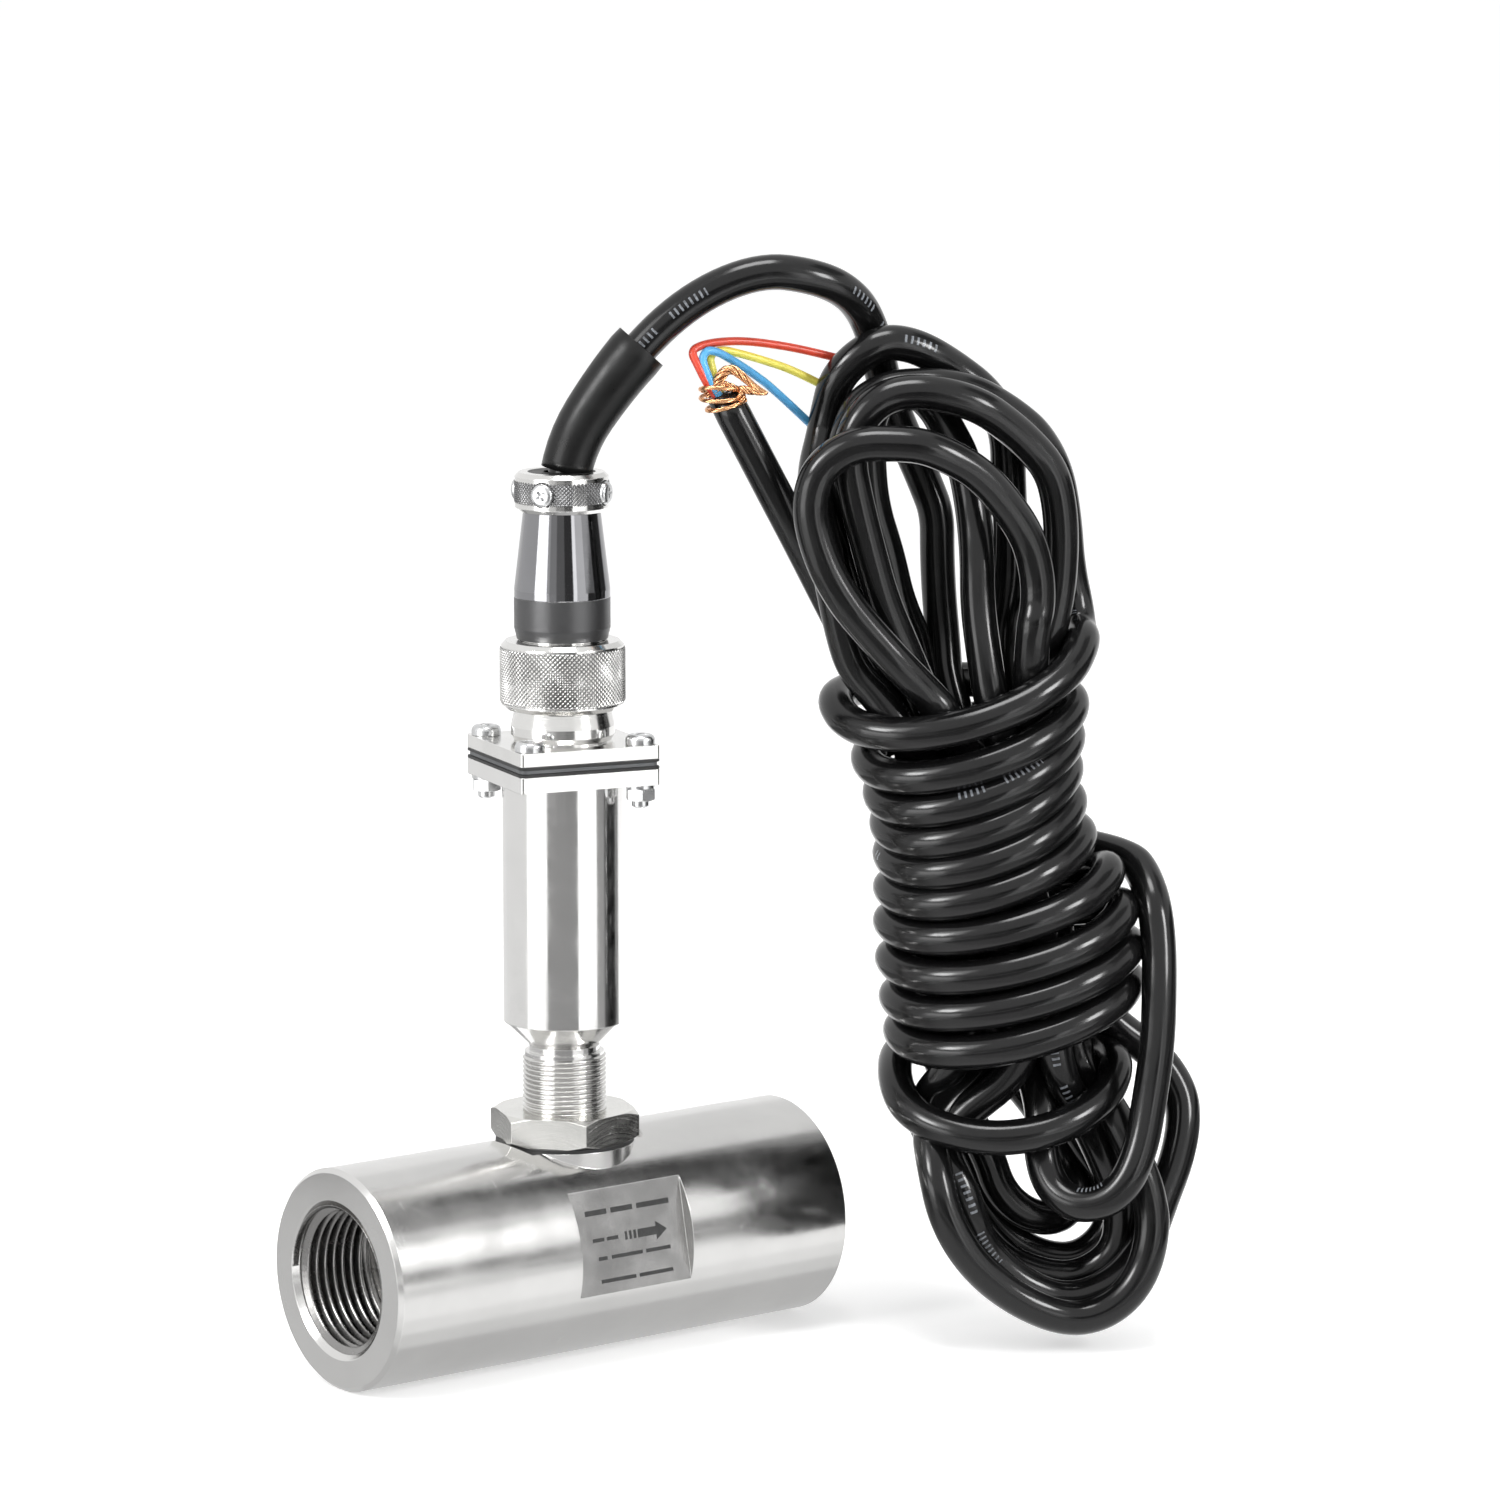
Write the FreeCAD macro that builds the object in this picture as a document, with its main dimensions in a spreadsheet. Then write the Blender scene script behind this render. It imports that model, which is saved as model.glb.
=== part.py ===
import FreeCAD, Part
import math
import os
import Sketcher

# Turbine flow meter with a screwed pick-up stem, a round cable plug and a
# bundle of signal cable. Millimetres. The flow runs along +X, the stem stands
# along +Z, and the origin lies on the floor under the stem.

Vector = FreeCAD.Vector
Rotation = FreeCAD.Rotation
Placement = FreeCAD.Placement

SIZES = {
    # flow body, turned from round bar
    "body_dia": 50.0,
    "body_length": 125.0,
    "edge_chamfer": 1.0,
    "pipe_thread_dia": 33.25,
    "pipe_thread_depth": 20.0,
    "mouth_dia": 35.8,
    "guide_bore_dia": 26.0,
    "chamber_dia": 25.0,
    "chamber_length": 14.0,
    "ring_groove_depth": 0.6,
    "boss_dia": 31.5,
    "boss_root": 9.0,
    "boss_drop": 1.7,
    "spot_face_dia": 35.8,
    "stem_hole_wall": 2.0,
    "label_start": -13.3,
    "label_length": 31.0,
    "label_depth": 2.94,
    "label_tilt": 11.8,
    # flow guides and their bearings
    "guide_length": 27.0,
    "hub_dia": 9.0,
    "hub_overhang": 2.2,
    "nose_radius": 3.6,
    "vane_count": 5,
    "vane_thickness": 1.0,
    "seat_gap": 0.05,
    "bearing_dia": 4.4,
    "bearing_length": 4.0,
    "retaining_ring_thickness": 1.0,
    "retaining_ring_width": 2.2,
    "retaining_ring_angle": 325,
    # turbine rotor
    "rotor_length": 8.0,
    "blade_count": 6,
    "blade_length": 7.2,
    "blade_thickness": 0.9,
    "blade_twist": 38,
    "tip_clearance": 0.3,
    "shaft_dia": 2.0,
    "shaft_clearance": 0.03,
    "shaft_end_play": 0.15,
    # lock nut and seal under the stem
    "seal_thickness": 0.8,
    "lock_nut_flats": 30.0,
    "lock_nut_height": 6.7,
    "lock_nut_chamfer": 0.9,
    "lock_nut_yaw": 10,
    # sensor housing with its threaded stem
    "head_yaw": 14,
    "stem_dia": 18.0,
    "stem_exposed": 22.2,
    "stem_wall": 1.5,
    "coil_bore_dia": 12.6,
    "neck_dia": 16.0,
    "neck_height": 1.4,
    "cone_height": 5.6,
    "housing_dia": 27.5,
    "housing_length": 54.9,
    "housing_wall": 2.0,
    "flange_side": 33.4,
    "flange_thickness": 3.6,
    "flange_corner": 0.8,
    "gasket_thickness": 2.4,
    "gasket_overhang": 0.15,
    "plate_thickness": 3.0,
    "hole_spacing": 26.5,
    "screw_dia": 3.5,
    "hole_clearance": 0.15,
    "screw_head_dia": 6.7,
    "screw_head_height": 2.3,
    "screw_head_rim": 1.0,
    "screw_crown_dia": 4.2,
    "screw_end_chamfer": 0.3,
    "short_screw_setback": 0.3,
    "screw_tail": 1.6,
    "washer_thickness": 0.8,
    "washer_dia": 6.6,
    "flange_nut_flats": 6.0,
    "flange_nut_height": 2.8,
    "flange_nut_chamfer": 0.5,
    # pick-up and amplifier sealed inside the housing
    "magnet_dia": 7.0,
    "magnet_length": 8.0,
    "pole_dia": 3.0,
    "pole_length": 10.0,
    "bobbin_flange": 1.0,
    "winding_dia": 11.0,
    "board_width": 19.0,
    "board_height": 38.0,
    "board_thickness": 1.6,
    "chip_side": 6.0,
    "chip_height": 1.8,
    # panel socket
    "socket_bore_dia": 17.0,
    "socket_foot_dia": 22.0,
    "socket_base_dia": 23.4,
    "socket_waist_dia": 21.8,
    "socket_base_height": 7.0,
    "socket_foot_height": 0.3,
    "socket_belly_height": 1.5,
    "barrel_dia": 20.8,
    "barrel_height": 11.0,
    "barrel_chamfer": 0.5,
    "socket_insert_height": 12.0,
    "pin_count": 4,
    "pin_circle": 7.6,
    "pin_dia": 1.7,
    "pin_reach": 7.0,
    "pin_tail": 3.0,
    "pin_nose_radius": 0.68,
    "mating_gap": 0.3,
    # coupling nut
    "coupling_dia": 27.6,
    "coupling_length": 15.3,
    "coupling_lip": 2.0,
    "coupling_chamfer": 1.0,
    # cable plug
    "plug_tube_dia": 16.4,
    "plug_wall": 1.0,
    "collar_height": 2.0,
    "plug_neck_dia": 18.8,
    "plug_neck_height": 2.7,
    "spigot_dia": 17.6,
    "spigot_height": 13.0,
    "band_dia": 21.6,
    "band_foot_dia": 20.4,
    "band_height": 9.4,
    "band_taper_height": 2.5,
    "back_shell_height": 19.2,
    "back_shell_rim": 1.8,
    "back_shell_top_dia": 17.4,
    "back_shell_wall": 1.3,
    "back_shell_lip": 1.6,
    "cable_entry_dia": 9.6,
    "plug_insert_height": 9.4,
    "contact_wall": 0.4,
    "contact_tail": 2.6,
    "insert_ring_height": 1.2,
    "insert_ring_wall": 1.1,
    # cable clamp on the plug
    "clamp_dia": 21.0,
    "clamp_height": 8.8,
    "clamp_chamfer": 0.9,
    "clamp_wall": 2.9,
    "clamp_screw_count": 4,
    "clamp_screw_dia": 2.6,
    "clamp_screw_head_dia": 5.2,
    "clamp_screw_head_height": 1.8,
    "clamp_screw_crown_dia": 3.1,
    "clamp_screw_stand": 1.1,
    "clamp_screw_yaw": 30,
    # cable, sleeve and cores
    "cable_dia": 8.0,
    "cable_yaw": 37.8,
    "sleeve_dia": 12.4,
    "sleeve_setback": 0.4,
    "core_dia": 1.9,
    "shield_dia": 2.6,
}

doc = FreeCAD.newDocument("turbine_flow_meter")
sheet = doc.addObject("Spreadsheet::Sheet", "Sizes")
for row, (alias, value) in enumerate(SIZES.items(), start=1):
    sheet.set(f"A{row}", alias.replace("_", " "))
    sheet.set(f"B{row}", str(value))
    sheet.setAlias(f"B{row}", alias)
doc.recompute()

subparts = {}


def size(name):
    return float(sheet.get(name))


def half(name):
    return f"Sizes.{name} / 2"


# Heights and stations along the two axes, as formulas over the sheet.
# Along the flow, from the middle of the body:
CHAMBER_END = half("chamber_length")
GUIDE_START = f"{CHAMBER_END} + Sizes.seat_gap"
GUIDE_END = f"{GUIDE_START} + Sizes.guide_length"
GROOVE_START = GUIDE_END
GROOVE_END = f"{GUIDE_END} + Sizes.retaining_ring_thickness + 2 * Sizes.seat_gap"
HUB_START = f"{CHAMBER_END} - Sizes.hub_overhang"
HUB_END = f"{GUIDE_END} - Sizes.hub_dia / 2"
BODY_END = half("body_length")
THREAD_END = f"{BODY_END} - Sizes.pipe_thread_depth"
# Up the stem, from the floor:
BOSS_TOP = "Sizes.body_dia - Sizes.boss_drop"
STEM_FLOOR = "Sizes.body_dia / 2 + Sizes.chamber_dia / 2 + Sizes.stem_hole_wall"
STEM_TIP = f"{STEM_FLOOR} + Sizes.mating_gap"
NUT_BASE = f"{BOSS_TOP} + Sizes.seal_thickness"
CONE_BASE = f"{BOSS_TOP} + Sizes.stem_exposed"
HOUSING_BASE = f"{CONE_BASE} + Sizes.cone_height"
FLANGE_BASE = f"{HOUSING_BASE} + Sizes.housing_length"
GASKET_BASE = f"{FLANGE_BASE} + Sizes.flange_thickness"
PLATE_BASE = f"{GASKET_BASE} + Sizes.gasket_thickness"
FRONT_CORNER = 2
PLATE_TOP = f"{PLATE_BASE} + Sizes.plate_thickness"
SOCKET_WAIST = f"{PLATE_TOP} + Sizes.socket_base_height"
BARREL_TOP = f"{SOCKET_WAIST} + Sizes.barrel_height"
COUPLING_BASE = f"{SOCKET_WAIST} + Sizes.mating_gap"
COUPLING_TOP = f"{COUPLING_BASE} + Sizes.coupling_length"
COLLAR_BASE = f"{BARREL_TOP} + Sizes.mating_gap"
COLLAR_TOP = f"{COLLAR_BASE} + Sizes.collar_height"
BAND_BASE = f"{COLLAR_TOP} + Sizes.plug_neck_height"
BACK_SHELL_BASE = f"{BAND_BASE} + Sizes.band_height"
CLAMP_BASE = f"{BACK_SHELL_BASE} + Sizes.back_shell_height"
CLAMP_TOP = f"{CLAMP_BASE} + Sizes.clamp_height"
SOCKET_INSERT_TOP = f"{PLATE_BASE} + Sizes.socket_insert_height"
PLUG_FRONT = f"{SOCKET_INSERT_TOP} + Sizes.mating_gap"


def level(formula):
    """Number of a height formula, read back through a spare cell of the sheet."""
    probe = doc.addObject("App::FeaturePython", "level_probe")
    probe.addProperty("App::PropertyFloat", "Height")
    probe.setExpression("Height", formula)
    doc.recompute()
    height = probe.Height
    doc.removeObject(probe.Name)
    return height


def new_body(label):
    body = doc.addObject("PartDesign::Body", label)
    body.Label = label
    return body


def origin_plane(body, role):
    for feature in body.Origin.OriginFeatures:
        if feature.Role == role:
            return feature
    raise ValueError(role)


def new_sketch(body, name, role, offset=None, turn=0.0):
    """Sketch on an origin plane, moved along its normal and turned in it."""
    sketch = body.newObject("Sketcher::SketchObject", name)
    sketch.AttachmentSupport = [(origin_plane(body, role), "")]
    sketch.MapMode = "FlatFace"
    sketch.AttachmentOffset = Placement(Vector(), Rotation(Vector(0, 0, 1), turn))
    if offset is not None:
        sketch.setExpression("AttachmentOffset.Base.z", offset)
    return sketch


def outline(sketch, corners):
    """Closed outline whose corners sit at the given pairs of formulas."""
    count = len(corners)
    first = sketch.GeometryCount
    start = [Vector(math.cos(2 * math.pi * k / count), math.sin(2 * math.pi * k / count), 0)
             for k in range(count)]
    sketch.addGeometry([Part.LineSegment(start[k], start[(k + 1) % count]) for k in range(count)])
    joints = [Sketcher.Constraint("Coincident", first + k, 2, first + (k + 1) % count, 1)
              for k in range(count)]
    sketch.addConstraint(joints)
    for k, (across, along) in enumerate(corners):
        pin_point(sketch, first + k, 1, across, along, start[k])
    return sketch


def pin_point(sketch, geometry, point, across, along, start):
    """Hold one point of a sketch at a pair of formulas."""
    for kind, formula, value in (("DistanceX", across, start.x), ("DistanceY", along, start.y)):
        sketch.addConstraint(Sketcher.Constraint(kind, -1, 1, geometry, point, value))
        sketch.setExpression(f"Constraints[{sketch.ConstraintCount - 1}]", formula)


def circle(sketch, across, along, radius):
    index = sketch.GeometryCount
    sketch.addGeometry(Part.Circle(Vector(1, 1, 0), Vector(0, 0, 1), 1))
    pin_point(sketch, index, 3, across, along, Vector(1, 1, 0))
    sketch.addConstraint(Sketcher.Constraint("Radius", index, 1))
    sketch.setExpression(f"Constraints[{sketch.ConstraintCount - 1}]", radius)
    return sketch


def square(sketch, side):
    reach = f"{side} / 2"
    return outline(sketch, [(f"-({reach})", f"-({reach})"), (reach, f"-({reach})"),
                            (reach, reach), (f"-({reach})", reach)])


def hexagon(sketch, flats):
    """Hexagon given by its width across flats, with a corner on +X."""
    corners = []
    for k in range(6):
        corners.append((f"{flats} / sqrt(3) * cos({60 * k} deg)", f"{flats} / sqrt(3) * sin({60 * k} deg)"))
    return outline(sketch, corners)


def revolve(body, corners, axis="V_Axis", angle=None):
    """Turned form: the outline in the XZ plane swept round Z, or round X for H_Axis."""
    sketch = outline(new_sketch(body, "profile", "XZ_Plane"), corners)
    turned = body.newObject("PartDesign::Revolution", "turned")
    turned.Profile = sketch
    turned.ReferenceAxis = (sketch, [axis])
    turned.Midplane = True
    turned.Angle = 360
    if angle is not None:
        turned.setExpression("Angle", angle)
    return turned


def pad(body, sketch, length, midplane=False):
    feature = body.newObject("PartDesign::Pad", "pad")
    feature.Profile = sketch
    feature.Midplane = midplane
    feature.setExpression("Length", length)
    return feature


def pocket(body, sketch, length, forward=False):
    """Cut against the sketch's normal, or along it when forward."""
    doc.recompute()
    before = body.Shape.Volume
    feature = body.newObject("PartDesign::Pocket", "pocket")
    feature.Profile = sketch
    feature.Reversed = forward
    feature.setExpression("Length", length)
    doc.recompute()
    if body.Shape.Volume > before - 1e-6:
        raise ValueError(f"a pocket of {body.Label} cuts nothing")
    return feature


def repeat_round(body, feature, role, count):
    pattern = body.newObject("PartDesign::PolarPattern", "pattern")
    pattern.Originals = [feature]
    pattern.Axis = (origin_plane(body, role), [""])
    pattern.Angle = 360
    pattern.setExpression("Occurrences", count)
    body.Tip = pattern
    return pattern


def groove(body, corners, axis="V_Axis"):
    sketch = outline(new_sketch(body, "groove_profile", "XZ_Plane"), corners)
    cut = body.newObject("PartDesign::Groove", "groove")
    cut.Profile = sketch
    cut.ReferenceAxis = (sketch, [axis])
    cut.Angle = 360
    return cut


def fillet(body, radius, wanted):
    """Round the edges of the body for which wanted(edge) is true."""
    doc.recompute()
    base = body.Tip
    names = [f"Edge{k}" for k, edge in enumerate(base.Shape.Edges, start=1) if wanted(edge)]
    feature = body.newObject("PartDesign::Fillet", "fillet")
    feature.Base = (base, names)
    feature.setExpression("Radius", radius)
    return feature


def is_upright(edge):
    if len(edge.Vertexes) != 2:
        return False
    low, high = edge.Vertexes[0].Point, edge.Vertexes[1].Point
    return abs(low.x - high.x) + abs(low.y - high.y) < 1e-6


def finish(node, item, place=None):
    item.Label = node
    if place is not None:
        item.Placement = place
    subparts[node] = item
    return item


def on_flow_axis(turn=0.0):
    """Place of a piece modelled about its own X axis, on the flow axis."""
    return Placement(Vector(0, 0, size("body_dia") / 2), Rotation(Vector(0, 0, 1), turn))


def turned_head():
    """The housing is screwed in until its flange stands a little askew."""
    return Placement(Vector(), Rotation(Vector(0, 0, 1), -size("head_yaw")))


def copies(node, shapes, place=None):
    """Several equal loose pieces kept as one node."""
    group = doc.addObject("Part::Feature", node)
    group.Shape = Part.Compound(shapes)
    return finish(node, group, place)


def turned_copies(template, count, yaw=0.0):
    """Copies of a finished shape, evenly round the Z axis."""
    shapes = []
    for k in range(int(count)):
        shape = template.copy()
        shape.rotate(Vector(), Vector(0, 0, 1), yaw + 360.0 * k / count)
        shapes.append(shape)
    return shapes


def tube_piece(label, outer, inner, low, high):
    """Plain ring about Z between two heights."""
    body = new_body(label)
    revolve(body, [(inner, low), (outer, low), (outer, high), (inner, high)])
    return body


# Flow body

def make_flow_body():
    body = new_body("flow_body")
    chamber = half("chamber_dia")
    guide_bore = half("guide_bore_dia")
    groove_floor = f"{guide_bore} + Sizes.ring_groove_depth"
    thread = half("pipe_thread_dia")
    mouth = half("mouth_dia")
    bar = half("body_dia")
    right_side = [
        (CHAMBER_END, chamber),
        (CHAMBER_END, guide_bore),
        (GROOVE_START, guide_bore),
        (GROOVE_START, groove_floor),
        (GROOVE_END, groove_floor),
        (GROOVE_END, guide_bore),
        (THREAD_END, guide_bore),
        (THREAD_END, thread),
        (f"{BODY_END} - ({mouth} - {thread})", thread),
        (BODY_END, mouth),
        (BODY_END, f"{bar} - Sizes.edge_chamfer"),
        (f"{BODY_END} - Sizes.edge_chamfer", bar),
    ]
    left_side = [(f"-({along})", radius) for along, radius in reversed(right_side)]
    revolve(body, right_side + left_side, "H_Axis")

    # round boss that carries the stem, level with a spot face sunk into the bar
    boss = circle(new_sketch(body, "boss", "XY_Plane", f"{bar} - Sizes.boss_root"), "0", "0",
                  half("boss_dia"))
    pad(body, boss, "Sizes.boss_root - Sizes.boss_drop")
    face = circle(new_sketch(body, "spot_face", "XY_Plane", f"{bar} - Sizes.boss_drop"), "0", "0",
                  half("spot_face_dia"))
    pocket(body, face, "Sizes.boss_drop + 1", forward=True)

    # blind hole for the stem, its floor a thin wall over the rotor chamber
    floor = f"{chamber} + Sizes.stem_hole_wall"
    hole = circle(new_sketch(body, "stem_hole", "XY_Plane", floor), "0", "0",
                  "Sizes.stem_dia / 2 + Sizes.seat_gap")
    pocket(body, hole, f"{bar} - ({floor}) + 1", forward=True)

    # flat for the plate marks, milled into the near side and tilted up to the reader
    across, rise = "cos(Sizes.label_tilt)", "sin(Sizes.label_tilt)"
    corners = [(f"-({out}) * {across} + ({along}) * {rise}", f"({out}) * {rise} + ({along}) * {across}")
               for out, along in ((f"{bar} - Sizes.label_depth", bar), (f"{bar} + 2", bar),
                                  (f"{bar} + 2", f"-({bar})"), (f"{bar} - Sizes.label_depth", f"-({bar})"))]
    flat = outline(new_sketch(body, "label_flat", "YZ_Plane", "Sizes.label_start"), corners)
    pocket(body, flat, "Sizes.label_length", forward=True)
    finish("flow_body", body, on_flow_axis())


# Flow guides, rotor and what carries them

def make_guide(node, turn):
    """Hub with flat vanes that straighten the flow and carry one shaft bearing."""
    body = new_body(node)
    bearing = half("bearing_dia")
    hub = half("hub_dia")
    pocket_end = f"{HUB_START} + Sizes.bearing_length"
    revolve(body, [(HUB_START, bearing), (HUB_START, hub), (GUIDE_END, hub), (GUIDE_END, "0"),
                   (pocket_end, "0"), (pocket_end, bearing)], "H_Axis")
    nose_rim = level(GUIDE_END)
    fillet(body, "Sizes.nose_radius",
           lambda edge: len(edge.Vertexes) == 1 and abs(edge.CenterOfMass.x - nose_rim) < 1e-6)
    rim = "Sizes.guide_bore_dia / 2 - Sizes.seat_gap"
    root = f"{hub} * 0.6"
    vane = outline(new_sketch(body, "vane", "XZ_Plane"),
                   [(GUIDE_START, root), (GUIDE_START, rim), (HUB_END, rim), (HUB_END, root)])
    plate = pad(body, vane, "Sizes.vane_thickness", midplane=True)
    repeat_round(body, plate, "X_Axis", "Sizes.vane_count")
    finish(node, body, on_flow_axis(turn))


def make_retaining_ring(node, turn):
    """Open spring ring that sits in its groove and stops the guide."""
    body = new_body(node)
    outer = "Sizes.guide_bore_dia / 2 + Sizes.ring_groove_depth - Sizes.seat_gap"
    inner = f"{outer} - Sizes.retaining_ring_width"
    near = f"{GUIDE_END} + Sizes.seat_gap"
    far = f"{near} + Sizes.retaining_ring_thickness"
    revolve(body, [(near, inner), (near, outer), (far, outer), (far, inner)], "H_Axis",
            "Sizes.retaining_ring_angle")
    finish(node, body, on_flow_axis(turn))


def make_bearing(node, turn):
    body = new_body(node)
    far = f"{HUB_START} + Sizes.bearing_length"
    bore = "Sizes.shaft_dia / 2 + Sizes.shaft_clearance"
    outer = half("bearing_dia")
    revolve(body, [(HUB_START, bore), (HUB_START, outer), (far, outer), (far, bore)], "H_Axis")
    finish(node, body, on_flow_axis(turn))


def make_rotor():
    """Hub with helical blades: each blade is a loft through three turned sections."""
    body = new_body("turbine_rotor")
    reach = half("rotor_length")
    hub = half("hub_dia")
    shaft = half("shaft_dia")
    revolve(body, [(f"-({reach})", shaft), (f"-({reach})", hub), (reach, hub), (reach, shaft)], "H_Axis")
    tip = "Sizes.chamber_dia / 2 - Sizes.tip_clearance"
    root = f"{hub} * 0.8"
    edge = half("blade_thickness")
    sections = []
    for step in (-1, 0, 1):
        section = new_sketch(body, "blade_section", "YZ_Plane", f"{step} * Sizes.blade_length / 2",
                             step * size("blade_twist") / 2)
        outline(section, [(f"-({edge})", root), (edge, root), (edge, f"{tip} + 1"),
                          (f"-({edge})", f"{tip} + 1")])
        sections.append(section)
    blade = body.newObject("PartDesign::AdditiveLoft", "blade")
    blade.Profile = sections[0]
    blade.Sections = sections[1:]
    doc.recompute()
    repeat_round(body, blade, "X_Axis", "Sizes.blade_count")
    doc.recompute()
    # turn the blade tips down to their running size
    groove(body, [(f"-({reach}) - 1", tip), (f"-({reach}) - 1", f"{tip} + 3"), (f"{reach} + 1", f"{tip} + 3"),
                  (f"{reach} + 1", tip)], "H_Axis")
    finish("turbine_rotor", body, on_flow_axis())


def make_rotor_shaft():
    body = new_body("rotor_shaft")
    reach = f"{HUB_START} + Sizes.bearing_length - Sizes.shaft_end_play"
    radius = half("shaft_dia")
    revolve(body, [(f"-({reach})", "0"), (f"-({reach})", radius), (reach, radius), (reach, "0")], "H_Axis")
    finish("rotor_shaft", body, on_flow_axis())


# Stem seat

def make_seal_ring():
    body = tube_piece("stem_seal_ring", "Sizes.boss_dia / 2 - Sizes.seat_gap",
                      "Sizes.stem_dia / 2 + Sizes.seat_gap", BOSS_TOP, NUT_BASE)
    finish("stem_seal_ring", body)


def hex_nut(label, flats, base, height, bore, chamfer):
    """Hexagon nut about Z with both ends chamfered."""
    body = new_body(label)
    pad(body, hexagon(new_sketch(body, "hexagon", "XY_Plane", base), flats), height)
    hole = circle(new_sketch(body, "thread", "XY_Plane", base), "0", "0", bore)
    pocket(body, hole, f"{height} + 1", forward=True)
    corner = f"{flats} / sqrt(3)"
    top = f"{base} + {height}"
    slope = f"{chamfer} / sqrt(3)"
    groove(body, [(f"{corner} - {chamfer}", top), (f"{corner} + 1", top),
                  (f"{corner} + 1", f"{top} - ({slope})"), (corner, f"{top} - ({slope})")])
    groove(body, [(f"{corner} - {chamfer}", base), (f"{corner} + 1", base),
                  (f"{corner} + 1", f"{base} + {slope}"), (corner, f"{base} + {slope}")])
    return body


def make_lock_nut():
    body = hex_nut("lock_nut", "Sizes.lock_nut_flats", NUT_BASE, "Sizes.lock_nut_height",
                   "Sizes.stem_dia / 2 + Sizes.seat_gap", "Sizes.lock_nut_chamfer * 2")
    finish("lock_nut", body, Placement(Vector(), Rotation(Vector(0, 0, 1), size("lock_nut_yaw"))))


# Sensor housing and the pick-up inside it

def corner_holes(body, base, thickness):
    """Four screw holes near the corners of a square plate."""
    doc.recompute()
    offset = half("hole_spacing")
    sketch = circle(new_sketch(body, "corner_hole", "XY_Plane", base), offset, offset,
                    "Sizes.screw_dia / 2 + Sizes.hole_clearance")
    hole = pocket(body, sketch, thickness, forward=True)
    repeat_round(body, hole, "Z_Axis", "4")


def square_flange(body, side, base, thickness, bore):
    sketch = square(new_sketch(body, "flange", "XY_Plane", base), side)
    circle(sketch, "0", "0", bore)
    pad(body, sketch, thickness)
    reach = size("flange_side") / 2
    fillet(body, "Sizes.flange_corner",
           lambda edge: is_upright(edge) and abs(edge.Vertexes[0].Point.x) > reach - 0.1)
    corner_holes(body, base, thickness)


def make_sensor_housing():
    body = new_body("sensor_housing")
    stem = half("stem_dia")
    neck = half("neck_dia")
    shell = half("housing_dia")
    cavity = f"{shell} - Sizes.housing_wall"
    coil_bore = half("coil_bore_dia")
    inner_floor = f"{STEM_TIP} + Sizes.stem_wall"
    cavity_floor = f"{HOUSING_BASE} + Sizes.housing_wall"
    neck_base = f"{CONE_BASE} - Sizes.neck_height"
    revolve(body, [(stem, STEM_TIP), (stem, neck_base), (neck, neck_base), (neck, CONE_BASE),
                   (shell, HOUSING_BASE), (shell, GASKET_BASE), (cavity, GASKET_BASE),
                   (cavity, cavity_floor), (coil_bore, cavity_floor), (coil_bore, inner_floor),
                   ("0", inner_floor), ("0", STEM_TIP)])
    square_flange(body, "Sizes.flange_side", FLANGE_BASE, "Sizes.flange_thickness", cavity)
    finish("sensor_housing", body, turned_head())


POLE_BASE = f"{STEM_TIP} + Sizes.stem_wall"
MAGNET_BASE = f"{POLE_BASE} + Sizes.pole_length"


def make_pickup():
    """Pole piece inside its coil, with the magnet on top, all in the stem."""
    bore = "Sizes.coil_bore_dia / 2 - Sizes.seat_gap"
    pole = half("pole_dia")
    core = tube_piece("pole_piece", pole, "0", POLE_BASE, MAGNET_BASE)
    finish("pole_piece", core, turned_head())
    bobbin = new_body("coil_bobbin")
    inner = f"{pole} + Sizes.seat_gap"
    waist = f"{inner} + Sizes.bobbin_flange"
    low = f"{POLE_BASE} + Sizes.bobbin_flange"
    high = f"{MAGNET_BASE} - Sizes.bobbin_flange"
    revolve(bobbin, [(inner, POLE_BASE), (bore, POLE_BASE), (bore, low), (waist, low), (waist, high),
                     (bore, high), (bore, MAGNET_BASE), (inner, MAGNET_BASE)])
    finish("coil_bobbin", bobbin, turned_head())
    winding = tube_piece("coil_winding", half("winding_dia"), f"{waist} + Sizes.seat_gap",
                         f"{low} + Sizes.seat_gap", f"{high} - Sizes.seat_gap")
    finish("coil_winding", winding, turned_head())
    magnet = tube_piece("pickup_magnet", half("magnet_dia"), "0", MAGNET_BASE,
                        f"{MAGNET_BASE} + Sizes.magnet_length")
    finish("pickup_magnet", magnet, turned_head())


def plain_block(label, width, depth, height, centre_x, face_y, base):
    block = doc.addObject("Part::Box", label)
    block.setExpression("Length", width)
    block.setExpression("Width", depth)
    block.setExpression("Height", height)
    block.Placement = Placement(Vector(centre_x - level(width) / 2, face_y, base), Rotation())
    return block


def make_board():
    """Amplifier board standing on the cavity floor, with its parts on one face."""
    base = level(f"{HOUSING_BASE} + Sizes.housing_wall")
    thickness = size("board_thickness")
    board = plain_block("amplifier_board", "Sizes.board_width", "Sizes.board_thickness",
                        "Sizes.board_height", 0, -thickness / 2, base)
    doc.recompute()
    local = board.Placement
    finish("amplifier_board", board, turned_head().multiply(local))
    chip = size("chip_side")
    face = thickness / 2
    shapes = []
    # places are shares of the board's width and height
    places = ((-0.263, 0.132, 1.0), (0.211, 0.184, 0.6), (-0.211, 0.447, 0.7),
              (0.237, 0.526, 1.0), (0.000, 0.763, 0.8))
    for across, up, share in places:
        side = chip * share
        corner = Vector(across * size("board_width") - side / 2, face, base + up * size("board_height"))
        shapes.append(Part.makeBox(side, size("chip_height"), side, corner))
    copies("board_components", shapes, turned_head())


# Flange joint

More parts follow.
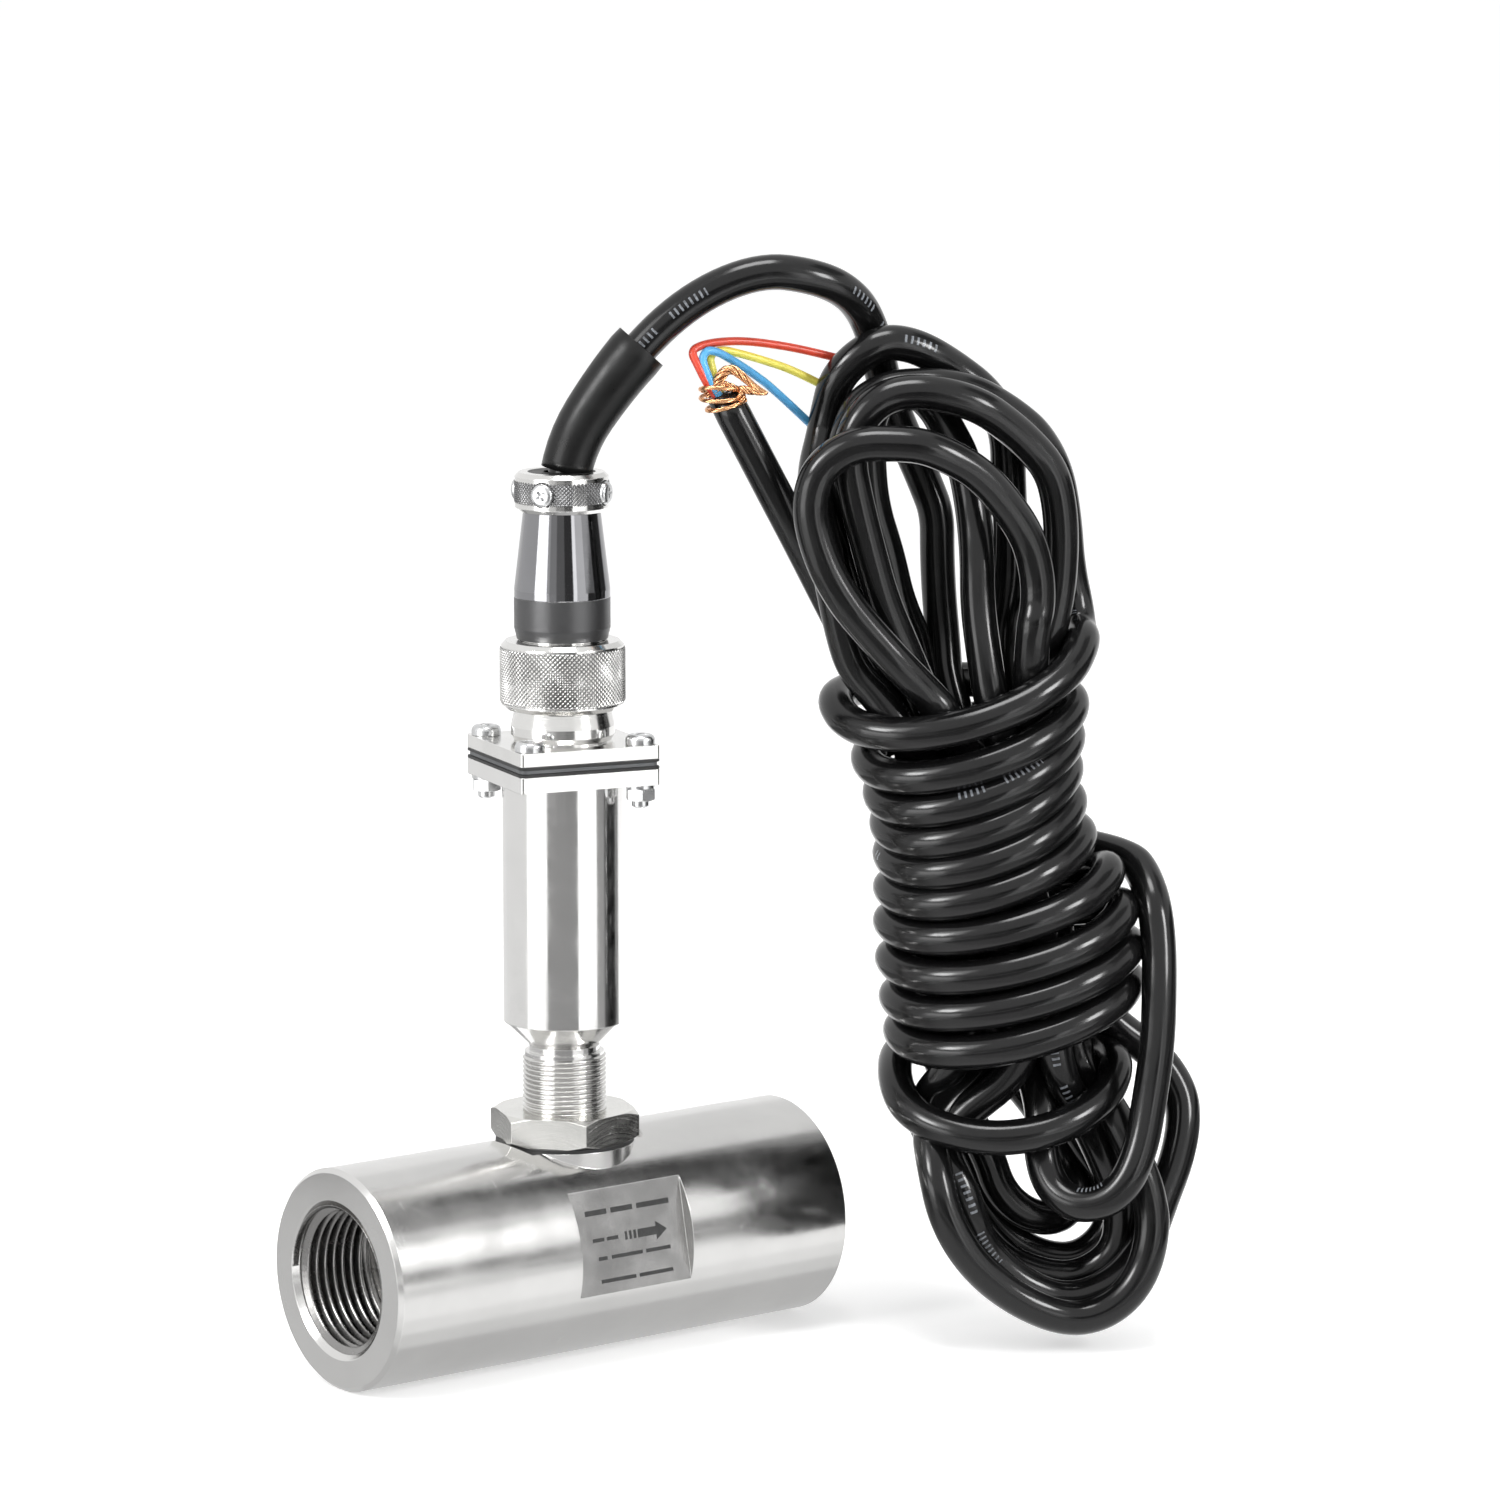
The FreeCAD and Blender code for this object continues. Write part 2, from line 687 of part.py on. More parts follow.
def make_gasket():
    body = new_body("flange_gasket")
    bore = "Sizes.housing_dia / 2 - Sizes.housing_wall"
    side = "(Sizes.flange_side + 2 * Sizes.gasket_overhang)"
    square_flange(body, side, GASKET_BASE, "Sizes.gasket_thickness", bore)
    finish("flange_gasket", body, turned_head())


def screw_form(label, tail, radius, head, crown):
    """Pan screw whose head seats on the socket's plate."""
    screw = new_body(label)
    cut = "Sizes.screw_end_chamfer"
    revolve(screw, [("0", tail), (f"{radius} - {cut}", tail), (radius, f"{tail} + {cut}"), (radius, PLATE_TOP),
                    (head, PLATE_TOP), (head, f"{PLATE_TOP} + Sizes.screw_head_rim"),
                    (half("screw_crown_dia"), crown), ("0", crown)])
    return screw


def make_flange_fasteners():
    """Pan screws from above. Three have a spring washer and a nut below, the front one ends in the flange."""
    radius = half("screw_dia")
    head = half("screw_head_dia")
    washer_base = f"{FLANGE_BASE} - Sizes.washer_thickness"
    nut_base = f"{washer_base} - Sizes.flange_nut_height"
    tail = f"{nut_base} - Sizes.screw_tail"
    crown = f"{PLATE_TOP} + Sizes.screw_head_height"
    screw = screw_form("flange_screw_form", tail, radius, head, crown)
    short = screw_form("short_screw_form", f"{FLANGE_BASE} + Sizes.short_screw_setback", radius, head, crown)
    washer = tube_piece("flange_washer_form", half("washer_dia"), f"{radius} + Sizes.seat_gap",
                        washer_base, FLANGE_BASE)
    nut = hex_nut("flange_nut_form", "Sizes.flange_nut_flats", nut_base, "Sizes.flange_nut_height",
                  f"{radius} + Sizes.seat_gap", "Sizes.flange_nut_chamfer")
    doc.recompute()
    reach = size("hole_spacing") / math.sqrt(2)
    corners = []
    for form in (screw, short, washer, nut):
        shape = form.Shape.copy()
        shape.translate(Vector(reach, 0, 0))
        corners.append(turned_copies(shape, 4, 45))
    screws, short_screws, washers, nuts = corners
    through = [k for k in range(4) if k != FRONT_CORNER]
    copies("flange_screws", [screws[k] for k in through] + [short_screws[FRONT_CORNER]], turned_head())
    copies("flange_washers", [washers[k] for k in through], turned_head())
    copies("flange_nuts", [nuts[k] for k in through], turned_head())


# Panel socket

def make_socket_shell():
    body = new_body("socket_shell")
    bore = half("socket_bore_dia")
    foot = half("socket_foot_dia")
    belly = half("socket_base_dia")
    waist = half("socket_waist_dia")
    barrel = half("barrel_dia")
    revolve(body, [(bore, PLATE_BASE), (foot, PLATE_BASE), (foot, f"{PLATE_TOP} + Sizes.socket_foot_height"),
                   (belly, f"{PLATE_TOP} + Sizes.socket_belly_height"),
                   (belly, f"{PLATE_TOP} + Sizes.socket_base_height / 2"),
                   (waist, SOCKET_WAIST), (barrel, SOCKET_WAIST),
                   (barrel, f"{BARREL_TOP} - Sizes.barrel_chamfer"),
                   (f"{barrel} - Sizes.barrel_chamfer", BARREL_TOP), (bore, BARREL_TOP)])
    square_flange(body, "Sizes.flange_side", PLATE_BASE, "Sizes.plate_thickness", bore)
    finish("socket_shell", body, turned_head())


def pin_holes(body, base, height, radius):
    """Ring of round holes for the contacts of the plug or the socket."""
    doc.recompute()
    sketch = circle(new_sketch(body, "pin_hole", "XY_Plane", base), half("pin_circle"), "0", radius)
    hole = pocket(body, sketch, height, forward=True)
    repeat_round(body, hole, "Z_Axis", "Sizes.pin_count")


def make_socket_insert():
    body = tube_piece("socket_insert", "Sizes.socket_bore_dia / 2 - Sizes.seat_gap", "0",
                      PLATE_BASE, SOCKET_INSERT_TOP)
    pin_holes(body, PLATE_BASE, "Sizes.socket_insert_height", "Sizes.pin_dia / 2 + Sizes.seat_gap")
    finish("socket_insert", body, turned_head())

    pin = tube_piece("socket_pin_form", half("pin_dia"), "0", f"{PLATE_BASE} - Sizes.pin_tail",
                     f"{SOCKET_INSERT_TOP} + Sizes.pin_reach")
    fillet(pin, "Sizes.pin_nose_radius",
           lambda edge: len(edge.Vertexes) == 1 and edge.CenterOfMass.z > level(SOCKET_INSERT_TOP))
    doc.recompute()
    shape = pin.Shape.copy()
    shape.translate(Vector(size("pin_circle") / 2, 0, 0))
    copies("socket_pins", turned_copies(shape, size("pin_count")), turned_head())


# Coupling nut and plug

def make_coupling_nut():
    """Knurled nut that hangs on the plug's collar and screws onto the barrel."""
    body = new_body("coupling_nut")
    outer = half("coupling_dia")
    bore = "Sizes.barrel_dia / 2 + Sizes.mating_gap"
    lip = "Sizes.plug_neck_dia / 2 + Sizes.mating_gap"
    lip_base = f"{COUPLING_TOP} - Sizes.coupling_lip"
    cut = "Sizes.coupling_chamfer"
    revolve(body, [(bore, COUPLING_BASE), (f"{outer} - {cut}", COUPLING_BASE),
                   (outer, f"{COUPLING_BASE} + {cut}"), (outer, f"{COUPLING_TOP} - {cut}"), (f"{outer} - {cut}", COUPLING_TOP), (lip, COUPLING_TOP),
                   (lip, lip_base), (bore, lip_base)])
    finish("coupling_nut", body, turned_head())


def make_plug():
    tube = half("plug_tube_dia")
    bore = f"{tube} - Sizes.plug_wall"
    collar = half("barrel_dia")
    neck = half("plug_neck_dia")
    spigot = half("spigot_dia")
    spigot_top = f"{BAND_BASE} + Sizes.spigot_height"
    front = new_body("plug_front_shell")
    revolve(front, [(bore, PLUG_FRONT), (tube, PLUG_FRONT), (tube, COLLAR_BASE), (collar, COLLAR_BASE),
                    (collar, COLLAR_TOP), (neck, COLLAR_TOP), (neck, BAND_BASE), (spigot, BAND_BASE),
                    (spigot, spigot_top), (bore, spigot_top)])
    finish("plug_front_shell", front, turned_head())

    seat = f"{spigot} + Sizes.seat_gap"
    band = new_body("plug_band_ring")
    revolve(band, [(seat, BAND_BASE), (half("band_foot_dia"), BAND_BASE),
                   (half("band_dia"), f"{BAND_BASE} + Sizes.band_taper_height"),
                   (half("band_dia"), f"{BACK_SHELL_BASE} - Sizes.seat_gap"),
                   (seat, f"{BACK_SHELL_BASE} - Sizes.seat_gap")])
    finish("plug_band_ring", band, turned_head())

    back = new_body("plug_back_shell")
    rim = half("band_dia")
    top = half("back_shell_top_dia")
    wall = "Sizes.back_shell_wall"
    seat_top = f"{spigot_top} + Sizes.seat_gap"
    revolve(back, [(seat, BACK_SHELL_BASE), (rim, BACK_SHELL_BASE),
                   (rim, f"{BACK_SHELL_BASE} + Sizes.back_shell_rim"), (top, CLAMP_BASE),
                   (half("cable_entry_dia"), CLAMP_BASE),
                   (half("cable_entry_dia"), f"{CLAMP_BASE} - Sizes.back_shell_lip"),
                   (f"{top} - {wall}", f"{CLAMP_BASE} - Sizes.back_shell_lip"),
                   (bore, seat_top), (seat, seat_top)])
    finish("plug_back_shell", back, turned_head())


def make_plug_insert():
    bore = "Sizes.plug_tube_dia / 2 - Sizes.plug_wall - Sizes.seat_gap"
    top = f"{PLUG_FRONT} + Sizes.plug_insert_height"
    contact_bore = "Sizes.pin_dia / 2 + Sizes.mating_gap"
    contact = f"{contact_bore} + Sizes.contact_wall"
    insert = tube_piece("plug_insert", bore, "0", PLUG_FRONT, top)
    pin_holes(insert, PLUG_FRONT, "Sizes.plug_insert_height", f"{contact} + Sizes.seat_gap")
    finish("plug_insert", insert, turned_head())

    form = tube_piece("contact_form", contact, contact_bore, PLUG_FRONT, f"{top} + Sizes.contact_tail")
    doc.recompute()
    shape = form.Shape.copy()
    shape.translate(Vector(size("pin_circle") / 2, 0, 0))
    copies("plug_contacts", turned_copies(shape, size("pin_count")), turned_head())

    ring = tube_piece("plug_insert_ring", bore, f"{bore} - Sizes.insert_ring_wall", top,
                      f"{top} + Sizes.insert_ring_height")
    finish("plug_insert_ring", ring, turned_head())


# Cable clamp

def clamp_place():
    return Placement(Vector(), Rotation(Vector(0, 0, 1), size("clamp_screw_yaw")))


def make_clamp():
    """Ring with four radial screws that press a rubber bush onto the cable."""
    body = new_body("clamp_ring")
    outer = half("clamp_dia")
    bore = f"{outer} - Sizes.clamp_wall"
    cut = "Sizes.clamp_chamfer"
    middle = f"{CLAMP_BASE} + Sizes.clamp_height / 2"
    revolve(body, [(bore, CLAMP_BASE), (f"{outer} - {cut}", CLAMP_BASE), (outer, f"{CLAMP_BASE} + {cut}"),
                   (outer, f"{CLAMP_TOP} - {cut}"), (f"{outer} - {cut}", CLAMP_TOP), (bore, CLAMP_TOP)])
    head_seat = f"{outer} + Sizes.clamp_screw_stand - Sizes.clamp_screw_head_height"
    shank_hole = circle(new_sketch(body, "shank_hole", "YZ_Plane", f"{bore} - 1"), "0", middle,
                        "Sizes.clamp_screw_dia / 2 + Sizes.seat_gap")
    hole = pocket(body, shank_hole, "Sizes.clamp_wall + 2", forward=True)
    repeat_round(body, hole, "Z_Axis", "Sizes.clamp_screw_count")
    spot_face = circle(new_sketch(body, "spot_face", "YZ_Plane", head_seat), "0", middle,
                       "Sizes.clamp_screw_head_dia / 2 + Sizes.mating_gap")
    face = pocket(body, spot_face, "Sizes.clamp_wall", forward=True)
    repeat_round(body, face, "Z_Axis", "Sizes.clamp_screw_count")
    finish("clamp_ring", body, clamp_place())

    bush_outer = f"{bore} - Sizes.seat_gap"
    bush = tube_piece("clamp_bush", bush_outer, "Sizes.cable_dia / 2 + Sizes.seat_gap",
                      CLAMP_BASE, CLAMP_TOP)
    finish("clamp_bush", bush)

    screw = new_body("clamp_screw_form")
    radius = half("clamp_screw_dia")
    head = half("clamp_screw_head_dia")
    crown = f"{head_seat} + Sizes.clamp_screw_head_height"
    revolve(screw, [(bore, "0"), (bore, radius), (head_seat, radius), (head_seat, head),
                    (f"{head_seat} + Sizes.clamp_screw_head_height / 2", head),
                    (crown, half("clamp_screw_crown_dia")),
                    (crown, "0")], "H_Axis")
    doc.recompute()
    shape = screw.Shape.copy()
    shape.translate(Vector(0, 0, level(middle)))
    copies("clamp_screws", turned_copies(shape, size("clamp_screw_count")), clamp_place())


# Cable. Its points are given as (across, back, up): across is measured to the
# right of the stem in the plane that the cable hangs in, back behind that plane.

CABLE_ROUTE = [
    (0.0, 0.0, 190.5), (0.0, 0.0, 203.5), (11.0, 0.7, 223.5), (25.0, 2.5, 239.5),
    (43.0, 5.0, 247.0), (57.0, 7.5, 244.3), (65.5, 9.3, 238.8), (70.0, 10.4, 231.4),
]
TAIL_ROUTE = [(60.2, 8.5, 164.5), (54.0, 6.5, 181.0), (46.0, 4.5, 198.4), (37.0, 3.0, 215.2)]
RED_ROUTE = [
    (36.2, 2.8, 215.5), (32.2, 2.6, 221.0), (28.9, 2.8, 226.6), (32.0, 3.3, 230.6),
    (39.5, 4.5, 230.9), (50.0, 7.0, 229.0), (62.0, 10.0, 225.6),
]
YELLOW_ROUTE = [
    (37.2, 4.6, 215.6), (34.8, 4.8, 220.5), (33.2, 4.9, 225.0), (36.6, 5.6, 228.3),
    (45.5, 7.4, 225.9), (55.0, 9.2, 221.6), (60.5, 10.2, 217.6),
]
BLUE_ROUTE = [
    (36.6, 0.6, 215.0), (33.6, 0.4, 219.8), (30.9, 0.4, 224.8), (34.6, 1.0, 228.2),
    (41.0, 2.2, 223.3), (49.0, 4.5, 217.0), (58.5, 7.5, 208.0),
]
SHIELD_ROUTE = [(38.6, 2.6, 216.0), (40.0, 2.2, 218.6), (43.2, 1.6, 218.4), (46.0, 1.2, 217.2)]

# Outer shape of the bundle: height, middle across, half width, half depth.
HANK_SECTIONS = [
    (0.0, 114.0, 13.0, 9.0), (12.0, 113.5, 21.0, 15.0), (36.0, 109.0, 28.4, 21.0),
    (66.0, 105.0, 34.0, 24.0), (98.0, 102.0, 33.0, 24.0), (136.0, 91.5, 27.5, 22.0),
    (156.0, 88.0, 30.5, 23.0), (192.0, 84.0, 30.5, 20.0), (214.0, 78.5, 23.0, 15.0),
    (229.0, 74.0, 11.5, 9.0),
]
HANK_BACK = 10.5


def cable_plane():
    return Placement(Vector(), Rotation(Vector(0, 0, 1), -size("cable_yaw")))


def route_wire(name, points):
    """Straight runs joined by tangent arcs, each as round as its two runs allow."""
    knots = [Vector(*point) for point in points]
    edges = []
    start = knots[0]
    radii = []
    for before, corner, after in zip(knots, knots[1:], knots[2:]):
        into = (corner - before).normalize()
        out = (after - corner).normalize()
        turn = into.getAngle(out)
        reach = 0.45 * min(before.distanceToPoint(corner), corner.distanceToPoint(after))
        radius = reach / math.tan(turn / 2)
        arc_start = corner - into * reach
        arc_end = corner + out * reach
        inward = (out - into).normalize()
        middle = corner + inward * (radius / math.cos(turn / 2) - radius)
        edges.append(Part.LineSegment(start, arc_start).toShape())
        edges.append(Part.Arc(arc_start, middle, arc_end).toShape())
        start = arc_end
        radii.append(round(radius, 1))
    edges.append(Part.LineSegment(start, knots[-1]).toShape())
    print(name, "radii", radii)
    return Part.Wire(edges)


def swept(wire, diameter):
    start = wire.Edges[0]
    heading = start.tangentAt(start.FirstParameter)
    ring = Part.Wire(Part.makeCircle(diameter / 2, start.Vertexes[0].Point, heading))
    return wire.makePipeShell([ring], True, False)


def make_cord(node, points, diameter):
    wire = route_wire(node, points)
    solid = swept(wire, diameter)
    expected = math.pi * diameter ** 2 / 4 * wire.Length
    if abs(solid.Volume / expected - 1) > 0.02:
        raise ValueError(f"{node} has {solid.Volume} instead of {expected}")
    cord = doc.addObject("Part::Feature", node)
    cord.Shape = solid
    finish(node, cord, cable_plane())


def slab_beyond(point, direction):
    """Large block that starts at a point and fills the side a direction points to."""
    reach = size("body_length")
    block = Part.makeBox(reach, reach, reach, Vector(-reach / 2, -reach / 2, 0))
    block.Placement = Placement(point, Rotation(Vector(0, 0, 1), direction))
    return block


def make_sleeve():
    """Rubber sleeve round the cable's first bend, cut level above the clamp."""
    wire = Part.Wire(route_wire("cable_sleeve", CABLE_ROUTE).Edges[:4])
    outer = swept(wire, size("sleeve_dia"))
    inner = swept(wire, size("cable_dia") + 2 * size("seat_gap"))
    bend = wire.Edges[3]
    last = bend.LastParameter - (bend.LastParameter - bend.FirstParameter) * size("sleeve_setback")
    beyond = slab_beyond(bend.valueAt(last), bend.tangentAt(last))
    below = slab_beyond(Vector(0, 0, level(f"{CLAMP_TOP} + Sizes.mating_gap")), Vector(0, 0, -1))
    sleeve = doc.addObject("Part::Feature", "cable_sleeve")
    sleeve.Shape = outer.cut(inner).cut(beyond).cut(below)
    finish("cable_sleeve", sleeve, cable_plane())


def make_hank():
    """Closed solid of the bundle's outer shape, standing on the floor."""
    rings = []
    for height, middle, half_width, half_depth in HANK_SECTIONS:
        ring = doc.addObject("Part::Ellipse", "hank_section")
        ring.MajorRadius = half_width
        ring.MinorRadius = half_depth
        ring.Placement = Placement(Vector(middle, HANK_BACK, height), Rotation())
        rings.append(ring)
    hank = doc.addObject("Part::Loft", "cable_hank")
    hank.Sections = rings
    hank.Solid = True
    finish("cable_hank", hank, cable_plane())


def make_cable():
    make_sleeve()
    make_cord("signal_cable", CABLE_ROUTE, size("cable_dia"))
    make_hank()
    make_cord("cable_tail", TAIL_ROUTE, size("cable_dia"))
    make_cord("core_red", RED_ROUTE, size("core_dia"))
    make_cord("core_yellow", YELLOW_ROUTE, size("core_dia"))
    make_cord("core_blue", BLUE_ROUTE, size("core_dia"))
    make_cord("shield_twist", SHIELD_ROUTE, size("shield_dia"))


def check_document():
    doc.recompute()
    for item in doc.Objects:
        if "Invalid" in item.State or "Error" in item.State:
            raise ValueError(f"{item.Label} is {item.State}")
    for node, item in subparts.items():
        if item.Shape.isNull() or not item.Shape.isValid():
            raise ValueError(f"{node} has no valid shape")


def main():
    make_flow_body()
    for side, turn in (("outlet", 0.0), ("inlet", 180.0)):
        make_guide(f"{side}_guide", turn)
        make_retaining_ring(f"{side}_retaining_ring", turn)
        make_bearing(f"{side}_bearing", turn)
    make_rotor()
    make_rotor_shaft()
    make_seal_ring()
    make_lock_nut()
    make_sensor_housing()
    make_pickup()
    make_board()
    make_gasket()
    make_flange_fasteners()
    make_socket_shell()
    make_socket_insert()
    make_coupling_nut()
    make_plug()
    make_plug_insert()
    make_clamp()
    make_cable()
    check_document()
    os.makedirs("parts", exist_ok=True)
    for node, item in subparts.items():
        item.Shape.exportStep(f"parts/{node}.step")
    print(len(subparts), "sub-parts written")


main()
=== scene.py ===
import math

import bmesh
import bpy
from mathutils import Matrix, Vector

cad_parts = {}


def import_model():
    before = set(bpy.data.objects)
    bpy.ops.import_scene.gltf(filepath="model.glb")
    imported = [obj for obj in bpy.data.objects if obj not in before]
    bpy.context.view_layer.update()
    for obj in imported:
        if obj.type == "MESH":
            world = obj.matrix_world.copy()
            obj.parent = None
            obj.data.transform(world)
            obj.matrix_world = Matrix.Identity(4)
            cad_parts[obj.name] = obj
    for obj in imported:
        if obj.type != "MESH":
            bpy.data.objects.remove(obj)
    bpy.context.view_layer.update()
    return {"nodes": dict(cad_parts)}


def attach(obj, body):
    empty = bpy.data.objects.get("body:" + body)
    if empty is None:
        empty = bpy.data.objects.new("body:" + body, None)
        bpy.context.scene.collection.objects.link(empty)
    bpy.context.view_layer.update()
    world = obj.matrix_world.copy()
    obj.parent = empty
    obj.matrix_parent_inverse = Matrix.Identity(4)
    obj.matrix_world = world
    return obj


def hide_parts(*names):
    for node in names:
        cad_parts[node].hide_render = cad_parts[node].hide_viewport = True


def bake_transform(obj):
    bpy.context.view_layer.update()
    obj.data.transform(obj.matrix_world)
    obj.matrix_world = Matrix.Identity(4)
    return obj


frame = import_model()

MM = 0.001
CAMERA_AZIMUTH = math.radians(-37.802)
CAMERA_PITCH = math.radians(-9.015)
CAMERA_PLACE = (-0.78823, -1.08451, 0.35016)
FOCAL_PIXELS, PHOTO_PIXELS = 6052.486, 1500
ACROSS = Vector((math.cos(CAMERA_AZIMUTH), math.sin(CAMERA_AZIMUTH), 0))
BACK = Vector((-math.sin(CAMERA_AZIMUTH), math.cos(CAMERA_AZIMUTH), 0))
HEAD_YAW = math.radians(-14)
CLAMP_YAW = math.radians(30)
SCENE = bpy.context.scene
NODES = frame["nodes"]


def at(across, back, up):
    """World point, in metres, of a cable point given in millimetres from the stem's foot."""
    return (ACROSS * across + BACK * back + Vector((0, 0, up))) * MM


def link(obj):
    SCENE.collection.objects.link(obj)
    return obj


# ---------------------------------------------------------------- camera

def make_camera():
    camera = bpy.data.cameras.new("photo_camera")
    camera.sensor_width = 36
    camera.sensor_fit = "HORIZONTAL"
    camera.lens = camera.sensor_width * FOCAL_PIXELS / PHOTO_PIXELS
    camera.clip_start, camera.clip_end = 0.05, 20
    obj = link(bpy.data.objects.new("photo_camera", camera))
    obj.location = CAMERA_PLACE
    obj.rotation_euler = (math.pi / 2 + CAMERA_PITCH, 0, CAMERA_AZIMUTH)
    SCENE.camera = obj


make_camera()

# ---------------------------------------------------------------- cords
# Control points in millimetres: across the photograph, back into it, up.

BEFORE_WRAP = [
    # arc from the plug
    (0, 0, 190.5), (0, 0, 203.5), (12.5, 0.5, 222.5), (27, 2.5, 237.5), (43.5, 5, 245), (57, 8, 243),
    (65, 13.5, 238.5), (69.5, 20, 230.5),
    # down into the bundle
    (72.5, 26.5, 216.5), (76, 28.5, 207.5), (79, 28.5, 201), (82, 29, 194), (84.5, 28.5, 187.5),
    (84.5, 27.5, 178.5), (85, 27, 168.5), (86, 25.5, 158), (86.5, 23.5, 150), (93.5, 18, 128.5),
    (95.5, 19, 106), (101, 20, 83.5), (99, 19.5, 65),
    # bottom fold, behind
    (112.5, 24.5, 54), (118, 24, 44.5), (125.5, 22, 33), (125.5, 19.5, 22.5), (117.5, 18, 15.5),
    (107, 17.5, 17), (98, 17.5, 24), (92.5, 20, 34.5), (88, 20, 44.5),
    # up
    (90, 21, 66.5), (92, 19.5, 83), (88.5, 19, 106), (84.5, 18, 126.5),
    # top loop, narrow, behind
    (80, 23, 158), (75.5, 20.5, 168), (73, 19.5, 179.5), (69.5, 18, 190.5), (68.5, 18, 202.5),
    (69, 18, 211.5), (73, 18, 216.5), (77.5, 16.5, 218), (83, 17, 214), (86.5, 16, 208), (90, 13.5, 201.5),
    (92, 12, 191.5), (93, 8.5, 180.5), (93, 6.5, 169.5), (94.5, 4, 158), (96, 2.5, 148.5),
    # down
    (101.5, 2.5, 128), (104.5, 2.5, 106), (110.5, 2.5, 83), (110.5, 1.5, 65),
    # bottom fold
    (118, 6.5, 52), (123.5, 9, 40), (127, 10.5, 29.5), (126, 10.5, 19.5), (118, 11, 13.5), (109, 9.5, 14),
    (99, 9.5, 18.5), (91, 8, 29.5), (85, 5.5, 44), (80, 10.5, 53.5),
    # up
    (90, 4, 66), (90.5, 5, 84.5), (88, 5.5, 106.5), (86, 8, 130.5),
    # top loop, highest
    (77, 0.5, 140), (71, 2, 149), (65, 3.5, 155.5), (62.5, 3, 164), (60.5, 1.5, 174), (58.5, 2, 184),
    (56.5, 4.5, 192.5), (56.5, 11.5, 199.5), (58.5, 15, 207), (59.5, 15, 212.5), (61, 13, 219),
    (64.5, 12, 223.5), (68.5, 12, 226.5), (72.5, 13, 228), (77, 14, 227.5), (82, 15.5, 225.5),
    (88, 19, 221.5), (95, 21, 216), (100, 22.5, 208), (100.5, 23, 196), (101, 21, 183.5),
    (100.5, 20, 170.5), (98, 22, 161.5),
    # down
    (99.5, 16.5, 125.5), (103.5, 17, 106.5), (109, 16.5, 80),
    # bulge low on the right, bottom fold
    (115.5, 20.5, 80), (126.5, 22, 69.5), (135.5, 22.5, 63), (141, 20.5, 55), (141.5, 17.5, 48),
    (139.5, 14.5, 39.5), (136, 11, 31.5), (132, 6, 21.5), (124.5, 2.5, 13.5), (113.5, 1.5, 10),
    (102, 0, 15.5), (93.5, -1.5, 25), (90.5, -4.5, 36.5), (84, 2, 49),
    # up
    (105.5, 2.5, 65), (101, 2.5, 83), (96, 3.5, 106), (93.5, 6, 129),
    # top loop, front
    (85.5, -2, 146), (82, -2, 150), (76, -5, 156.5), (69, -6.5, 164.5), (63, -8, 172), (58, -8.5, 181),
    (55, -8, 191.5), (56, -8.5, 199.5), (60, -8.5, 204.5), (66, -9, 207.5), (73.5, -8.5, 207.5),
    (80, -8, 207), (86, -6.5, 204.5), (92.5, -4, 200.5), (98, -2, 194.5), (103.5, 0.5, 186.5),
    (106, 1.5, 178.5), (106.5, 1.5, 170.5), (105, -1, 164),
    # down
    (104, 12, 125.5), (108, 10, 106), (115, 11, 82.5), (116, 13.5, 63),
    # lowest bottom fold
    (123.5, 5.5, 55), (128.5, 2.5, 45.5), (132.5, 0.5, 36), (133.5, -1.5, 27), (130.5, -3.5, 16.5),
    (123.5, -5, 9.5), (114, -6, 7.5), (102, -8, 13), (92.5, -10.5, 21.5), (86, -10.5, 32), (83.5, -7.5, 43),
    (82, 2.5, 52.5),
    # up
    (98, 12, 64), (96.5, 11, 82.5), (92.5, 11.5, 105.5), (90, 12, 127.5),
    # top loop, middle
    (80, 6, 151), (76.5, 3, 159.5), (71.5, 1, 171.5), (68.5, 0, 182.5), (65.5, -1, 194.5), (64, -1, 202.5),
    (65, -1, 209.5), (69, -0.5, 215), (74, 0.5, 217.5), (80, 1, 218), (86.5, 2, 217), (93.5, 3.5, 214.5),
    (99, 6.5, 210.5), (104.5, 9, 205.5), (109.5, 10.5, 199.5), (111.5, 11, 191.5), (112, 11, 181.5),
    (111, 10.5, 169), (107.5, 12, 155),
    # down
    (106, 16.5, 147.5), (104.5, 13, 130),
    # out between two turns, down the right side, small fold
    (106, 17, 118.5), (110.5, 24.5, 110.5), (116.5, 30.5, 111), (129, 20.5, 109.5), (131.5, 15, 106.5),
    (133.5, 8, 101), (134.5, 5.5, 92.5), (134.5, 2, 83), (134, -1.5, 70.5), (132, -4.5, 58),
    (130, -7.5, 48), (126.5, -10, 40), (121, -10, 35.5), (114, -8, 35), (109, -3.5, 39.5), (107.5, 0.5, 48),
    (108.5, 3.5, 54.5),
    # up, over behind the middle loop, down to the first turn
    (105.5, 11.5, 64.5), (105.5, 10, 83.5), (100, 10, 106), (99.5, 8.5, 130), (82, 17.5, 144),
    (79.5, 17, 147.5), (73.5, 12.5, 159.5), (69.5, 10, 171), (66, 8.5, 182.5), (63.5, 7.5, 194),
    (62.5, 7, 202), (64, 7, 208.5), (66.5, 7.5, 214.5), (72.5, 8, 218), (78, 9, 218.5), (85, 9.5, 218.5),
    (91.5, 11, 217), (95.5, 12.5, 215), (101.5, 15.5, 211), (106.5, 17.5, 206.5), (111, 20, 198.5),
    (113, 21, 188), (114, 22, 176), (116, 21.5, 167), (116.5, 18.5, 162),
]

